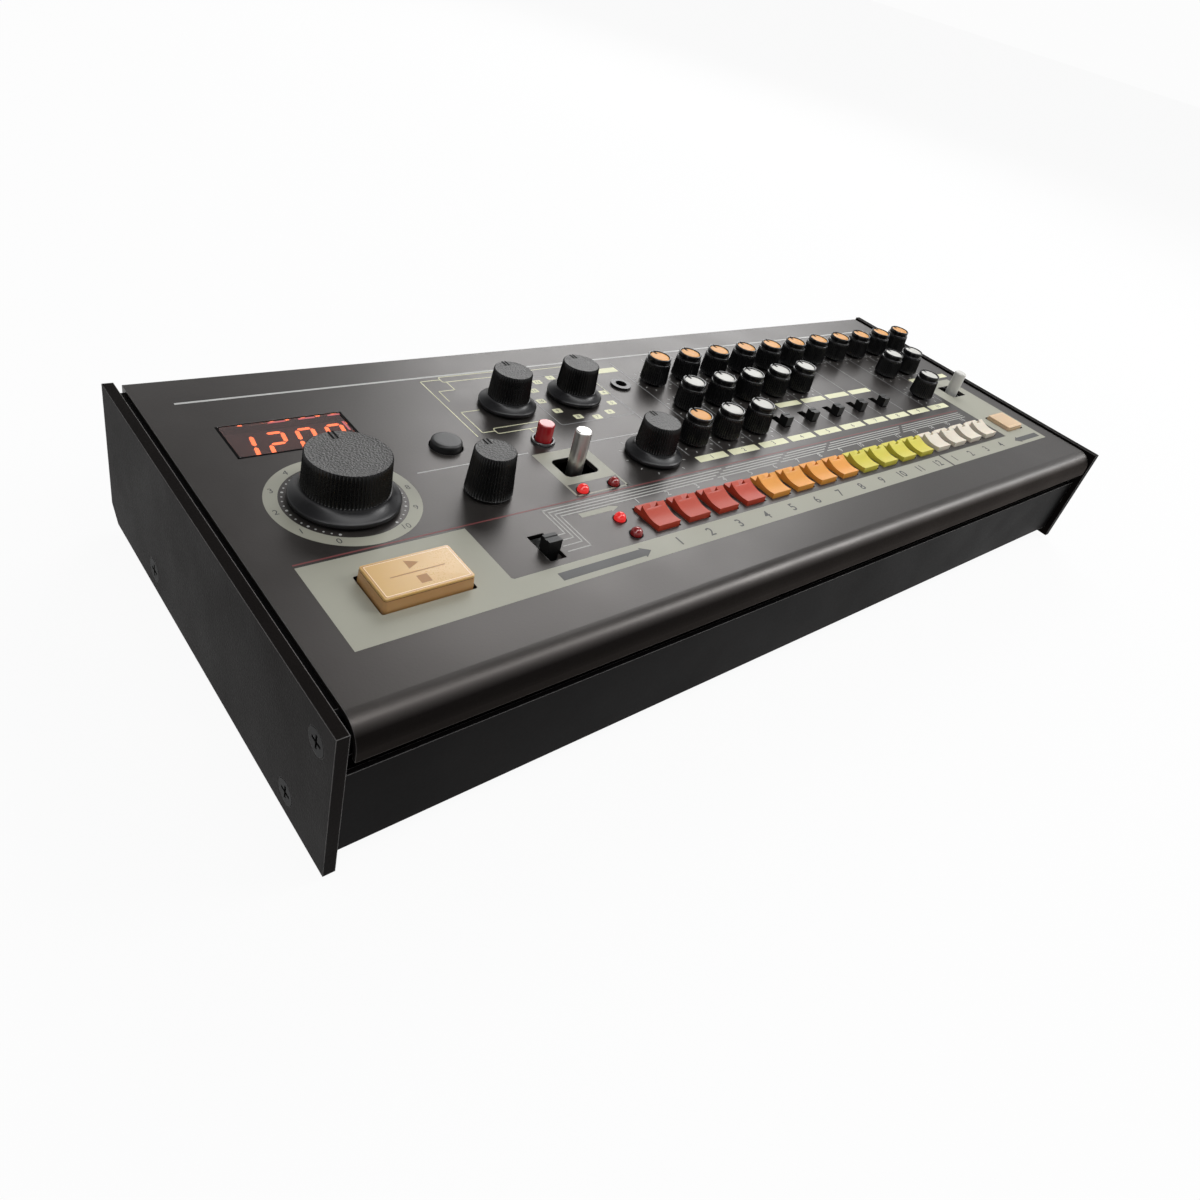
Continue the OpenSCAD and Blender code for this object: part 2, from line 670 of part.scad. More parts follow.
module step_key_01() step_key(0);
module step_key_02() step_key(1);
module step_key_03() step_key(2);
module step_key_04() step_key(3);
module step_key_05() step_key(4);
module step_key_06() step_key(5);
module step_key_07() step_key(6);
module step_key_08() step_key(7);
module step_key_09() step_key(8);
module step_key_10() step_key(9);
module step_key_11() step_key(10);
module step_key_12() step_key(11);
module step_key_13() step_key(12);
module step_key_14() step_key(13);
module step_key_15() step_key(14);
module step_key_16() step_key(15);

// Lever: a round stick on a cross pin that lies along the case's depth
module lever(r, h) {
    rotate_extrude() polygon([[0, lever_foot], [r, lever_foot], [r, h - 0.3], [r - 0.3, h], [0, h]]);
    translate([0, 0, -pivot_z]) rotate([90, 0, 0])
        cylinder(r = pin_r, h = 2 * r + 2 * fit + 2 * housing_t - 0.6, center = true);
}

module variation_lever() {
    color(steel) at(var_x, var_v) lever(var_r, var_h);
}

module fill_lever() {
    color([0.85, 0.85, 0.83]) at(fill_x, fill_v) lever(fill_r, fill_h);
}

// Cap and stem of a slide switch, with two finger ridges on top
module slide_cap(w) {
    translate([-w / 2, -slide_len / 2, slide_foot]) cube([w, slide_len, slide_h - slide_foot - 0.4]);
    for (s = [-1, 1]) translate([-w / 2, s * (slide_len / 2 - 0.45) - 0.45, slide_h - 0.4 - eps])
        cube([w, 0.9, 0.4 + eps]);
}

module scale_slide() {
    color(black) at(scale_x, scale_v) slide_cap(scale_w);
}

module voice_slides() {
    color(black) for (k = slide_cols) at(col_x(k), slide_v) slide_cap(slide_w);
}

// ---- Knobs ----

// A knob's shaft, down into its control's body
module shaft() {
    translate([0, 0, shaft_z]) cylinder(r = shaft_r, h = knob_gap - shaft_z + 0.5);
}

// Small knob: tapered body, grooved rim, and a coloured disc with a pointer notch
module small_knob(k, row, tone) {
    recess = 0.7;
    pointer_w = 0.9;
    at(col_x(k), row_v[row]) {
        color(black) {
            shaft();
            difference() {
                rotate_extrude() polygon([[0, knob_gap], [small_r, knob_gap], [small_r, knob_gap + 0.8],
                    [small_top_r + 0.1, small_h - 1.9], [small_top_r - 0.2, small_h - 1.6],
                    [small_top_r, small_h - 1.3], [small_top_r, small_h - 0.4],
                    [small_top_r - 0.35, small_h], [disc_r + 0.1, small_h - 0.1],
                    [disc_r + 0.1, small_h - recess], [0, small_h - recess]]);
                translate([-pointer_w / 2, disc_r - 0.6, small_h - recess]) cube([pointer_w, 3, 2]);
            }
        }
        color(tone) difference() {
            translate([0, 0, small_h - recess]) cylinder(r = disc_r, h = recess - 0.2);
            translate([-pointer_w / 2, disc_r - 1.5, 0]) cube([pointer_w, 3, small_h + 1]);
        }
    }
}

module accent_level_knob() small_knob(0, 0, orange);
module bass_level_knob() small_knob(1, 2, orange);
module bass_tone_knob() small_knob(1, 1, white);
module bass_decay_knob() small_knob(1, 0, white);
module snare_level_knob() small_knob(2, 2, orange);
module snare_tone_knob() small_knob(2, 1, white);
module snare_snap_knob() small_knob(2, 0, white);
module low_tom_level_knob() small_knob(3, 2, orange);
module low_tom_tune_knob() small_knob(3, 1, white);
module mid_tom_level_knob() small_knob(4, 2, orange);
module mid_tom_tune_knob() small_knob(4, 1, white);
module high_tom_level_knob() small_knob(5, 2, orange);
module high_tom_tune_knob() small_knob(5, 1, white);
module rim_level_knob() small_knob(6, 2, orange);
module clap_level_knob() small_knob(7, 2, orange);
module bell_level_knob() small_knob(8, 2, orange);
module cymbal_level_knob() small_knob(9, 2, orange);
module cymbal_tone_knob() small_knob(9, 1, white);
module cymbal_decay_knob() small_knob(9, 0, white);
module open_hat_level_knob() small_knob(10, 2, orange);
module open_hat_decay_knob() small_knob(10, 1, white);
module closed_hat_level_knob() small_knob(11, 2, orange);

// Knob turned from a profile, with a pointer slot cut into its top at the rear edge
module turned_knob(profile, top_r, h) {
    slot_w = 1.3;
    slot_l = top_r / 2;
    shaft();
    difference() {
        rotate_extrude() polygon(profile);
        translate([-slot_w / 2, top_r - slot_l, h - 0.6]) cube([slot_w, slot_l + 2, 2]);
    }
}

module tempo_knob() {
    skirt_h = 3.8;
    color(black) at(tempo_x, tempo_v) turned_knob([[0, knob_gap], [tempo_skirt_r, knob_gap],
        [tempo_skirt_r, knob_gap + 0.9], [tempo_r + 1, skirt_h - 0.4], [tempo_r + 0.2, skirt_h],
        [tempo_r - 0.2, tempo_h - 0.3], [tempo_r - 0.5, tempo_h], [0, tempo_h]], tempo_r, tempo_h);
}

module value_knob() {
    top_r = value_r - 0.85;
    color(black) at(value_x, value_v) {
        shaft();
        rotate_extrude() polygon([[0, knob_gap], [value_r, knob_gap], [value_r, knob_gap + 0.6],
            [top_r, value_h - 0.3], [top_r - 0.3, value_h], [0, value_h]]);
    }
}

// Knob with a flared skirt: a quarter-round from the skirt's edge up to the body
module skirted_knob() {
    skirt_h = 3.4;
    top_r = skirted_r - 0.9;
    flare = [for (a = [0 : 15 : 90]) [skirt_r - (skirt_r - skirted_r - 0.2) * sin(a),
        skirt_h - (skirt_h - knob_gap - 0.8) * cos(a)]];
    turned_knob(concat([[0, knob_gap], [skirt_r, knob_gap]], flare,
        [[skirted_r, skirt_h], [top_r, skirted_h - 0.3], [top_r - 0.3, skirted_h], [0, skirted_h]]),
        top_r, skirted_h);
}

module mode_selector() {
    color(black) at(mode_x, selector_v) skirted_knob();
}

module voice_selector() {
    color(black) at(voice_x, selector_v) skirted_knob();
}

module volume_knob() {
    color(black) at(volume_x, volume_v) skirted_knob();
}

top_panel();
bottom_case();
side_plates();
circuit_board();
display_module();
indicator_lamps();
sockets();
case_screws();
rubber_feet();
start_button();
tap_button();
clear_button();
function_button();
variation_lever();
fill_lever();
scale_slide();
voice_slides();
tempo_knob();
value_knob();
mode_selector();
voice_selector();
volume_knob();
step_key_01();
step_key_02();
step_key_03();
step_key_04();
step_key_05();
step_key_06();
step_key_07();
step_key_08();
step_key_09();
step_key_10();
step_key_11();
step_key_12();
step_key_13();
step_key_14();
step_key_15();
step_key_16();
accent_level_knob();
bass_level_knob();
bass_tone_knob();
bass_decay_knob();
snare_level_knob();
snare_tone_knob();
snare_snap_knob();
low_tom_level_knob();
low_tom_tune_knob();
mid_tom_level_knob();
mid_tom_tune_knob();
high_tom_level_knob();
high_tom_tune_knob();
rim_level_knob();
clap_level_knob();
bell_level_knob();
cymbal_level_knob();
cymbal_tone_knob();
cymbal_decay_knob();
open_hat_level_knob();
open_hat_decay_knob();
closed_hat_level_knob();
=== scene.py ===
import math

import bmesh
import bpy
import numpy as np
from mathutils.geometry import tessellate_polygon
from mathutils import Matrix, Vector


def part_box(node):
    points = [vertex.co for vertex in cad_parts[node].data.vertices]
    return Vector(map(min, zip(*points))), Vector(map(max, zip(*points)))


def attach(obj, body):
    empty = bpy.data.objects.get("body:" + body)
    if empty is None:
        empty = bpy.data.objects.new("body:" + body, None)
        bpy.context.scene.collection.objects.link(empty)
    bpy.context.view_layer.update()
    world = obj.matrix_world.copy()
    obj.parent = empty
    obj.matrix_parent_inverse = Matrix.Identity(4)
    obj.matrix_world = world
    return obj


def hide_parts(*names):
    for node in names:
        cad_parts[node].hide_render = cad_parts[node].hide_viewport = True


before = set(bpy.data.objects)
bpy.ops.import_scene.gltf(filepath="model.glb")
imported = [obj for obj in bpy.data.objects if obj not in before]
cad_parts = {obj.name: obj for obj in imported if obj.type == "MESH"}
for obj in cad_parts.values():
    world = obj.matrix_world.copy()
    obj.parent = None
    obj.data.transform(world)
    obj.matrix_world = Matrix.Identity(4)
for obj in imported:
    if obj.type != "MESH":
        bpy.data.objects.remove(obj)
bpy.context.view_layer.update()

# ---- Camera ----
# The photograph's view: close to the left front corner, looking down over the top panel, with a
# short lens and a slight roll. The values come from fitting the panel's edges and keys.
camera = bpy.data.objects.new("camera", bpy.data.cameras.new("camera"))
camera.location = (-0.20401, -0.14902, 0.15635)
camera.rotation_euler = [math.radians(a) for a in (54.526, -14.754, -40.448)]
camera.data.lens = 26.669
camera.data.shift_x = -0.0275
camera.data.shift_y = -0.0409
camera.data.clip_start = 0.01
bpy.context.scene.collection.objects.link(camera)
bpy.context.scene.camera = camera

# ---- Floor, background and studio light ----
# A plain pale floor in a white studio. Mirror rays also meet a darker ceiling with one strip light
# across it, which draws the soft line along the panel's front roll. The lamps stay at a plain
# level, at which colours render as they are written.
bpy.context.scene.view_settings.view_transform = "Standard"
floor_level, horizon_level, ceiling_level, strip_level = 0.94, 0.975, 0.22, 7.0


def new_material(name):
    """An empty node material: returns it with its node tree and its output node."""
    material = bpy.data.materials.new(name)
    material.use_nodes = True
    tree = material.node_tree
    tree.nodes.clear()
    return material, tree, tree.nodes.new("ShaderNodeOutputMaterial")


def math_node(tree, operation, *values, clamp=False):
    """A Math node on sockets or numbers; returns its output."""
    made = tree.nodes.new("ShaderNodeMath")
    made.operation = operation
    made.use_clamp = clamp
    for place, value in enumerate(values):
        if isinstance(value, (int, float)):
            made.inputs[place].default_value = value
        else:
            tree.links.new(value, made.inputs[place])
    return made.outputs[0]


def rescaled(tree, value, low, high, at_low, at_high):
    """A Map Range node: a line from at_low to at_high between low and high, flat beyond them."""
    made = tree.nodes.new("ShaderNodeMapRange")
    labels = ("From Min", "From Max", "To Min", "To Max")
    for label, level in zip(labels, (low, high, at_low, at_high)):
        made.inputs[label].default_value = level
    tree.links.new(value, made.inputs["Value"])
    return made.outputs["Result"]


def light_source(tree, kind, colour=(1, 1, 1), strength=1.0):
    """A Background or Emission node of one colour."""
    made = tree.nodes.new(kind)
    made.inputs["Color"].default_value = (*colour, 1)
    made.inputs["Strength"].default_value = strength
    return made


def chosen(tree, mask, unmasked, masked):
    """A Mix Shader: the first shader where the mask is 0, the second where it is 1."""
    made = tree.nodes.new("ShaderNodeMixShader")
    for place, source in enumerate((mask, unmasked, masked)):
        tree.links.new(source, made.inputs[place])
    return made.outputs[0]


def white_to_camera(tree):
    """A mask that is 1 for camera, glossy and transmission rays, and 0 for light on the object."""
    rays = tree.nodes.new("ShaderNodeLightPath")
    seen = rays.outputs["Is Camera Ray"]
    for kind in ("Is Glossy Ray", "Is Transmission Ray"):
        seen = math_node(tree, "MAXIMUM", seen, rays.outputs[kind])
    return seen


floor_material, tree, output = new_material("studio_floor")
matte = tree.nodes.new("ShaderNodeBsdfDiffuse")
matte.inputs["Color"].default_value = (0.8, 0.8, 0.8, 1)
bright = light_source(tree, "ShaderNodeEmission")
lift = math_node(tree, "MULTIPLY", white_to_camera(tree), floor_level)
tree.links.new(chosen(tree, lift, matte.outputs[0], bright.outputs[0]), output.inputs["Surface"])

floor_reach = 30.0
floor_mesh = bpy.data.meshes.new("studio_floor")
floor_mesh.from_pydata([(-floor_reach, -floor_reach, 0), (floor_reach, -floor_reach, 0),
    (floor_reach, floor_reach, 0), (-floor_reach, floor_reach, 0)], [], [(0, 1, 2, 3)])
floor_mesh.materials.append(floor_material)
studio_floor = bpy.data.objects.new("studio_floor", floor_mesh)
bpy.context.scene.collection.objects.link(studio_floor)

world = bpy.data.worlds.new("studio")
bpy.context.scene.world = world
world.use_nodes = True
tree = world.node_tree
tree.nodes.clear()
fill_light = light_source(tree, "ShaderNodeBackground", (0.92, 0.95, 1.0), 0.28)
backdrop = light_source(tree, "ShaderNodeBackground")
horizon = light_source(tree, "ShaderNodeBackground", strength=horizon_level)

# The ceiling's level falls with the ray's height; the strip lies where 0.5 y + 0.5 is about 0.35
direction = tree.nodes.new("ShaderNodeTexCoord")
ray = tree.nodes.new("ShaderNodeSeparateXYZ")
tree.links.new(direction.outputs["Generated"], ray.inputs[0])
ceiling = rescaled(tree, ray.outputs["Z"], 0.22, 0.6, horizon_level, ceiling_level)
above = rescaled(tree, ray.outputs["Z"], 0.25, 0.4, 0.0, strip_level)
strip = tree.nodes.new("ShaderNodeValToRGB")
strip.color_ramp.elements.remove(strip.color_ramp.elements[1])
strip.color_ramp.elements[0].color = (0, 0, 0, 1)
for place, level in ((0.28, 0.0), (0.32, 1.0), (0.38, 1.0), (0.43, 0.0)):
    stop = strip.color_ramp.elements.new(place)
    stop.color = (level, level, level, 1)
across = math_node(tree, "MULTIPLY_ADD", ray.outputs["Y"], 0.5, 0.5)
tree.links.new(across, strip.inputs["Fac"])
mirrored = math_node(tree, "MULTIPLY_ADD", strip.outputs["Color"], above, ceiling)
tree.links.new(mirrored, backdrop.inputs["Strength"])
shown = chosen(tree, white_to_camera(tree), fill_light.outputs[0], backdrop.outputs[0])
camera_ray = tree.nodes.new("ShaderNodeLightPath").outputs["Is Camera Ray"]
output = tree.nodes.new("ShaderNodeOutputWorld")
tree.links.new(chosen(tree, camera_ray, shown, horizon.outputs[0]), output.inputs["Surface"])


def soft_lamp(name, place, target, size, power):
    """A square area lamp that looks from its place to its target; power is in watts."""
    lamp = bpy.data.lights.new(name, "AREA")
    lamp.size = size
    lamp.energy = power
    holder = bpy.data.objects.new(name, lamp)
    holder.location = place
    away = np.subtract(target, place)
    turn = math.atan2(away[1], away[0]) - math.pi / 2
    down = math.atan2(math.hypot(away[0], away[1]), -away[2])
    holder.rotation_euler = (down, 0, turn)
    bpy.context.scene.collection.objects.link(holder)


soft_lamp("key_lamp", (0.75, 0.75, 0.75), (0.05, 0, 0.03), 0.7, 8)
soft_lamp("top_lamp", (-0.05, -0.3, 1.1), (0, 0, 0.03), 0.8, 3.5)
soft_lamp("right_lamp", (0.75, -0.36, 0.66), (0, -0.04, 0.03), 0.4, 3.8)
soft_lamp("left_lamp", (-1.1, -0.2, 0.5), (-0.1, 0, 0.03), 0.5, 0.7)

# ---- Places ----
# Everything on the top panel is placed by its distance from the left side plate's outer face,
# from the side plates' front edge, and from the panel's upper face, in millimetres.
MM = 0.001
plates_low, plates_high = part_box("side_plates")
plate_proud = 0.5


def on_panel(x, v, z=0.0):
    """Panel millimetres to the frame's metres; takes numbers or arrays of one shape."""
    x, v, z = np.broadcast_arrays(np.asarray(x, float), v, z)
    origin = np.array([plates_low[0], plates_low[1], plates_high[2] - plate_proud * MM])
    return origin + np.stack([x, v, z], -1) * MM


def centre_of(node):
    """A node's middle as panel millimetres (x, v)."""
    low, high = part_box(node)
    return [(low[i] + high[i] - 2 * plates_low[i]) / 2 / MM for i in (0, 1)]


# ---- Painted steel: case, side plates and top panel ----
# The case is folded steel sheet under satin paint; the side plates carry a finer, blacker
# powder coat. Paint is never quite flat: it has a fine orange peel. Edges carry a painted
# highlight.
dust_colour, shine_colour = (0.45, 0.44, 0.42), (0.30, 0.29, 0.28)


def group(name, inputs, outputs):
    """A shader node group with float inputs {name: default} and outputs {name: socket type}."""
    tree = bpy.data.node_groups.new(name, "ShaderNodeTree")
    for label, value in inputs.items():
        socket = tree.interface.new_socket(label, in_out="INPUT", socket_type="NodeSocketFloat")
        socket.default_value = value
    for label, kind in outputs.items():
        tree.interface.new_socket(label, in_out="OUTPUT", socket_type=kind)
    return tree, tree.nodes.new("NodeGroupInput"), tree.nodes.new("NodeGroupOutput")


def placed(tree, kind, **values):
    """One use of a node group, with its own values."""
    made = tree.nodes.new("ShaderNodeGroup")
    made.node_tree = kind
    for label, value in values.items():
        made.inputs[label].default_value = value
    return made


def noise(tree, scale, detail, scale_link=None):
    """Noise in Object coordinates, 0 to 1."""
    place = tree.nodes.new("ShaderNodeTexCoord")
    made = tree.nodes.new("ShaderNodeTexNoise")
    made.inputs["Scale"].default_value = scale
    made.inputs["Detail"].default_value = detail
    tree.links.new(place.outputs["Object"], made.inputs["Vector"])
    if scale_link is not None:
        tree.links.new(scale_link, made.inputs["Scale"])
    return made.outputs["Fac"]


def normal_part(tree, axis):
    """One part, X, Y or Z, of the surface's normal."""
    facing = tree.nodes.new("ShaderNodeNewGeometry")
    split = tree.nodes.new("ShaderNodeSeparateXYZ")
    tree.links.new(facing.outputs["Normal"], split.inputs[0])
    return split.outputs[axis]


def mixed(tree, mask, unmasked, masked):
    """Two colours mixed by a mask: the first where it is 0, the second where it is 1. Each is
    a socket or three numbers."""
    made = tree.nodes.new("ShaderNodeMix")
    made.data_type = "RGBA"
    tree.links.new(mask, made.inputs["Factor"])
    for label, colour in (("A", unmasked), ("B", masked)):
        if isinstance(colour, bpy.types.NodeSocket):
            tree.links.new(colour, made.inputs[label])
        else:
            made.inputs[label].default_value = (*colour, 1)
    return made.outputs["Result"]


# Surface grain: fine bumps with a slow drift in gloss. Height feeds Bump, Gloss feeds Roughness.
grain, start, end = group("surface_grain",
    {"Scale": 2500.0, "Roughness": 0.4, "Drift": 0.06},
    {"Height": "NodeSocketFloat", "Gloss": "NodeSocketFloat"})
fine = noise(grain, 2500.0, 2.0, start.outputs["Scale"])
slow = noise(grain, 45.0, 3.0)
drift = math_node(grain, "SUBTRACT", slow, 0.5)
swing = math_node(grain, "MULTIPLY", drift, start.outputs["Drift"])
spark = math_node(grain, "MULTIPLY", math_node(grain, "SUBTRACT", fine, 0.5), 0.12)
change = math_node(grain, "ADD", math_node(grain, "MULTIPLY", swing, 4.0), spark)
gloss = math_node(grain, "ADD", start.outputs["Roughness"], change, clamp=True)
grain.links.new(fine, end.inputs["Height"])
grain.links.new(gloss, end.inputs["Gloss"])

# Dust: a faint pale film that lies only where a surface faces up, in soft patches.
dust, start, end = group("settled_dust", {"Amount": 0.05}, {"Mask": "NodeSocketFloat"})
patches = math_node(dust, "MULTIPLY", noise(dust, 90.0, 6.0), normal_part(dust, "Z"), clamp=True)
film = math_node(dust, "MULTIPLY", patches, start.outputs["Amount"], clamp=True)
dust.links.new(film, end.inputs["Mask"])

# Edge shine: a painted highlight, a paler colour where two faces meet for the light that a rounded
# edge catches. The mask is 1 - dot(rounded normal, normal), which is over 0 only within Radius of
# an edge, times a noise that breaks it up.
edge_shine, start, end = group("painted_edge_shine", {"Radius": 0.0003, "Amount": 2.0},
    {"Mask": "NodeSocketFloat"})
round_off = edge_shine.nodes.new("ShaderNodeBevel")
round_off.samples = 6
edge_shine.links.new(start.outputs["Radius"], round_off.inputs["Radius"])
facing = edge_shine.nodes.new("ShaderNodeNewGeometry")
turned_off = edge_shine.nodes.new("ShaderNodeVectorMath")
turned_off.operation = "DOT_PRODUCT"
edge_shine.links.new(round_off.outputs[0], turned_off.inputs[0])
edge_shine.links.new(facing.outputs["Normal"], turned_off.inputs[1])
bent = math_node(edge_shine, "SUBTRACT", 1.0, turned_off.outputs["Value"], clamp=True)
broken = math_node(edge_shine, "MULTIPLY", bent, math_node(edge_shine, "ADD", noise(edge_shine, 400.0, 3.0), 0.4))
shine_mask = math_node(edge_shine, "MULTIPLY", broken, start.outputs["Amount"], clamp=True)
edge_shine.links.new(shine_mask, end.inputs["Mask"])


def finish_of(name, colour, roughness, grain_scale=2500.0, bump=0.08, drift=0.05, dusty=0.03,
        edge=0.0, shine=0.0, tint=None, depth=0.2, **fixed):
    """A Principled material with grain, dust and, where edge is over 0, edges rounded by that
    many millimetres in the shading and, where shine is over 0, a painted highlight: edges painted
    paler, as if they caught the light. tint is a second colour that patches of noise mix in; fixed
    holds values for the shader's own sockets."""
    material, tree, output = new_material(name)
    shader = tree.nodes.new("ShaderNodeBsdfPrincipled")
    texture = placed(tree, grain, Scale=grain_scale, Roughness=roughness, Drift=drift)
    second = tint or [c * 1.25 + 0.004 for c in colour]
    seen = mixed(tree, noise(tree, 60.0, 4.0), colour, second)
    seen = mixed(tree, placed(tree, dust, Amount=dusty).outputs["Mask"], seen, dust_colour)
    # Painted highlight: paler edges for the light that rounded edges would catch.
    if shine:
        mask = placed(tree, edge_shine, Radius=edge * MM, Amount=shine).outputs["Mask"]
        seen = mixed(tree, mask, seen, shine_colour)
    tree.links.new(seen, shader.inputs["Base Color"])
    tree.links.new(texture.outputs["Gloss"], shader.inputs["Roughness"])
    relief = tree.nodes.new("ShaderNodeBump")
    relief.inputs["Strength"].default_value = bump
    relief.inputs["Distance"].default_value = depth * MM
    tree.links.new(texture.outputs["Height"], relief.inputs["Height"])
    if edge:
        rounding = tree.nodes.new("ShaderNodeBevel")
        rounding.samples = 6
        rounding.inputs["Radius"].default_value = edge * MM
        tree.links.new(rounding.outputs[0], relief.inputs["Normal"])
    tree.links.new(relief.outputs[0], shader.inputs["Normal"])
    for socket, value in fixed.items():
        shader.inputs[socket.replace("_", " ")].default_value = value
    tree.links.new(shader.outputs[0], output.inputs["Surface"])
    return material


def dress(node, material):
    """Gives a CAD node that keeps its own mesh its finished material."""
    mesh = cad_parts[node].data
    mesh.materials.clear()
    mesh.materials.append(material)


panel_paint = finish_of("panel_paint", (0.0150, 0.0130, 0.0122), 0.36, 1800.0, 0.05, dusty=0.02,
    edge=0.25, shine=3.0, tint=(0.019, 0.0165, 0.0150), Specular_IOR_Level=0.40,
    Specular_Tint=(1.0, 0.93, 0.89, 1.0))
case_paint = finish_of("case_paint", (0.0030, 0.0028, 0.0030), 0.45, 1500.0, 0.08, dusty=0.005,
    edge=0.3, shine=5.0, tint=(0.006, 0.0052, 0.005), Specular_IOR_Level=0.025)
plate_coat = finish_of("plate_coat", (0.0040, 0.0032, 0.0029), 0.46, 2600.0, 0.25, dusty=0.006,
    edge=0.3, shine=4.0, tint=(0.0065, 0.0052, 0.0048), Specular_IOR_Level=0.02,
    Specular_Tint=(1.0, 0.88, 0.82, 1.0))

# Painted shade: where the front roll turns down, the panel's colour is darkened and the shader
# turns metallic, so that its pale reflection gives way to the dark colour; it is also rougher
# there.
rougher_by, shade_by = 0.35, 0.65
tree = panel_paint.node_tree
shader = next(n for n in tree.nodes if n.type == "BSDF_PRINCIPLED")
roll_shade_mask = rescaled(tree, normal_part(tree, "Y"), -0.5, -0.84, 0.0, 1.0)
tree.links.new(roll_shade_mask, shader.inputs["Metallic"])
rougher = math_node(tree, "ADD", shader.inputs["Roughness"].links[0].from_socket,
    math_node(tree, "MULTIPLY", roll_shade_mask, rougher_by), clamp=True)
tree.links.new(rougher, shader.inputs["Roughness"])
roll_shade = tree.nodes.new("ShaderNodeHueSaturation")
tree.links.new(shader.inputs["Base Color"].links[0].from_socket, roll_shade.inputs["Color"])
share = math_node(tree, "SUBTRACT", 1.0, math_node(tree, "MULTIPLY", roll_shade_mask, shade_by))
tree.links.new(share, roll_shade.inputs["Value"])
tree.links.new(roll_shade.outputs["Color"], shader.inputs["Base Color"])
dress("top_panel", panel_paint)
dress("bottom_case", case_paint)
dress("side_plates", plate_coat)

# ---- Screws and feet ----
# Black-oxide cross-head screws, countersunk in the side plates, and moulded rubber feet that
# are glued under the case.
# The screws' edges carry a faint painted highlight.
black_oxide = finish_of("black_oxide", (0.004, 0.004, 0.004), 0.4, 4000.0, 0.05, edge=0.12,
    shine=0.5, Specular_IOR_Level=0.03)
foot_rubber = finish_of("foot_rubber", (0.02, 0.02, 0.02), 0.8, 1500.0, 0.3, edge=0.3)
dress("case_screws", black_oxide)
dress("rubber_feet", foot_rubber)

# ---- Circuit board and sockets ----
# The glass-fibre board with its solder mask shows only as darkness in the slots. The sockets
# are black plastic and sit in the rear wall, with one beside the voice knobs.
solder_mask = finish_of("solder_mask", (0.012, 0.035, 0.02), 0.4, 900.0, 0.1)
socket_plastic = finish_of("socket_plastic", (0.007, 0.007, 0.0075), 0.26, 2200.0, 0.08, edge=0.15,
    Specular_IOR_Level=0.3)
dress("circuit_board", solder_mask)
dress("sockets", socket_plastic)

# ---- Printing on the panel ----
# Screen-printed ink, a few hundredths of a millimetre thick: cream fields, pale tabs, white
# lines and scales, one red line, and dark figures on the cream. Only plain numbers are printed.


def around(x, v, r, turn):
    """The place at radius r and angle turn about (x, v)."""
    return x + r * np.cos(turn), v + r * np.sin(turn)


def rounded_outline(x0, v0, x1, v1, r):
    """Points round a rectangle whose corners are quarter circles of radius r."""
    quarter = np.linspace(0, math.pi / 2, 5)
    centres = [(x1 - r, v1 - r), (x0 + r, v1 - r), (x0 + r, v0 + r), (x1 - r, v0 + r)]
    return np.concatenate([np.stack(around(*centre, r, quarter + i * math.pi / 2), -1)
        for i, centre in enumerate(centres)])


def circle_outline(x, v, r, count=96):
    """Points round a circle."""
    return np.stack(around(x, v, r, np.arange(count) * 2 * math.pi / count), -1)


def field(outer, *holes):
    """A flat shape with holes as (points, triangles)."""
    loops = [outer, *holes]
    triangles = tessellate_polygon([[(*p, 0) for p in loop] for loop in loops])
    return np.concatenate(loops), [tuple(t) for t in triangles]


def bar(x0, v0, x1, v1, width):
    """A straight line of ink between two places, with square ends."""
    along = np.array([x1 - x0, v1 - v0], float)
    along /= np.hypot(*along)
    side = np.array([-along[1], along[0]]) * width / 2
    a, b = np.array([[x0, v0], [x1, v1]])
    return np.array([a - side, b - side, b + side, a + side]), [(0, 1, 2, 3)]


def triangle(*corners):
    """A flat triangle of ink."""
    return np.array(corners), [(0, 1, 2)]


def arrow(tail, neck, tip, v, width, half_head):
    """An arrow along x: its shaft from tail to neck, then its head to the tip."""
    head = triangle((neck, v - half_head), (tip, v), (neck, v + half_head))
    return [bar(tail, v, neck, v, width), head]


def frame_lines(x0, v0, x1, v1, width, r):
    """A rectangle drawn as a line of the given width."""
    return field(rounded_outline(x0, v0, x1, v1, r),
        rounded_outline(x0 + width, v0 + width, x1 - width, v1 - width, max(r - width, 0.05)))


def figure(text, x, v, height, bolder=0.0):
    """A printed number, centred on its place, as (points, faces), with its strokes widened."""
    curve = bpy.data.curves.new("figure", "FONT")
    curve.body = str(text)
    curve.size = height / 0.7
    curve.align_x = "CENTER"
    curve.align_y = "CENTER"
    curve.resolution_u = 3
    curve.offset = bolder
    holder = bpy.data.objects.new("figure", curve)
    bpy.context.scene.collection.objects.link(holder)
    mesh = holder.to_mesh()
    points = np.array([p.co[:2] for p in mesh.vertices])
    faces = [tuple(p.vertices) for p in mesh.polygons]
    holder.to_mesh_clear()
    bpy.data.objects.remove(holder)
    bpy.data.curves.remove(curve)
    return points + (x, v), faces


def skin(name, points, faces, materials, body, replaced=(), smooth=35, face_material=None):
    """Makes a piece from points in panel millimetres and faces, rides it on a body and hides the
    nodes that it replaces. Edges sharper than smooth degrees stay sharp."""
    mesh = bpy.data.meshes.new(name)
    places = on_panel(*np.asarray(points, float).T)
    mesh.from_pydata(places.tolist(), [], [tuple(int(i) for i in f) for f in faces])
    mesh.update()
    for material in materials if isinstance(materials, (list, tuple)) else [materials]:
        mesh.materials.append(material)
    if face_material is not None:
        mesh.polygons.foreach_set("material_index", np.asarray(face_material, np.int32))
    mesh.polygons.foreach_set("use_smooth", np.ones(len(mesh.polygons), bool))
    mesh.set_sharp_from_angle(angle=math.radians(smooth))
    piece = bpy.data.objects.new(name, mesh)
    bpy.context.scene.collection.objects.link(piece)
    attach(piece, body)
    if replaced:
        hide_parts(*replaced)
    return piece


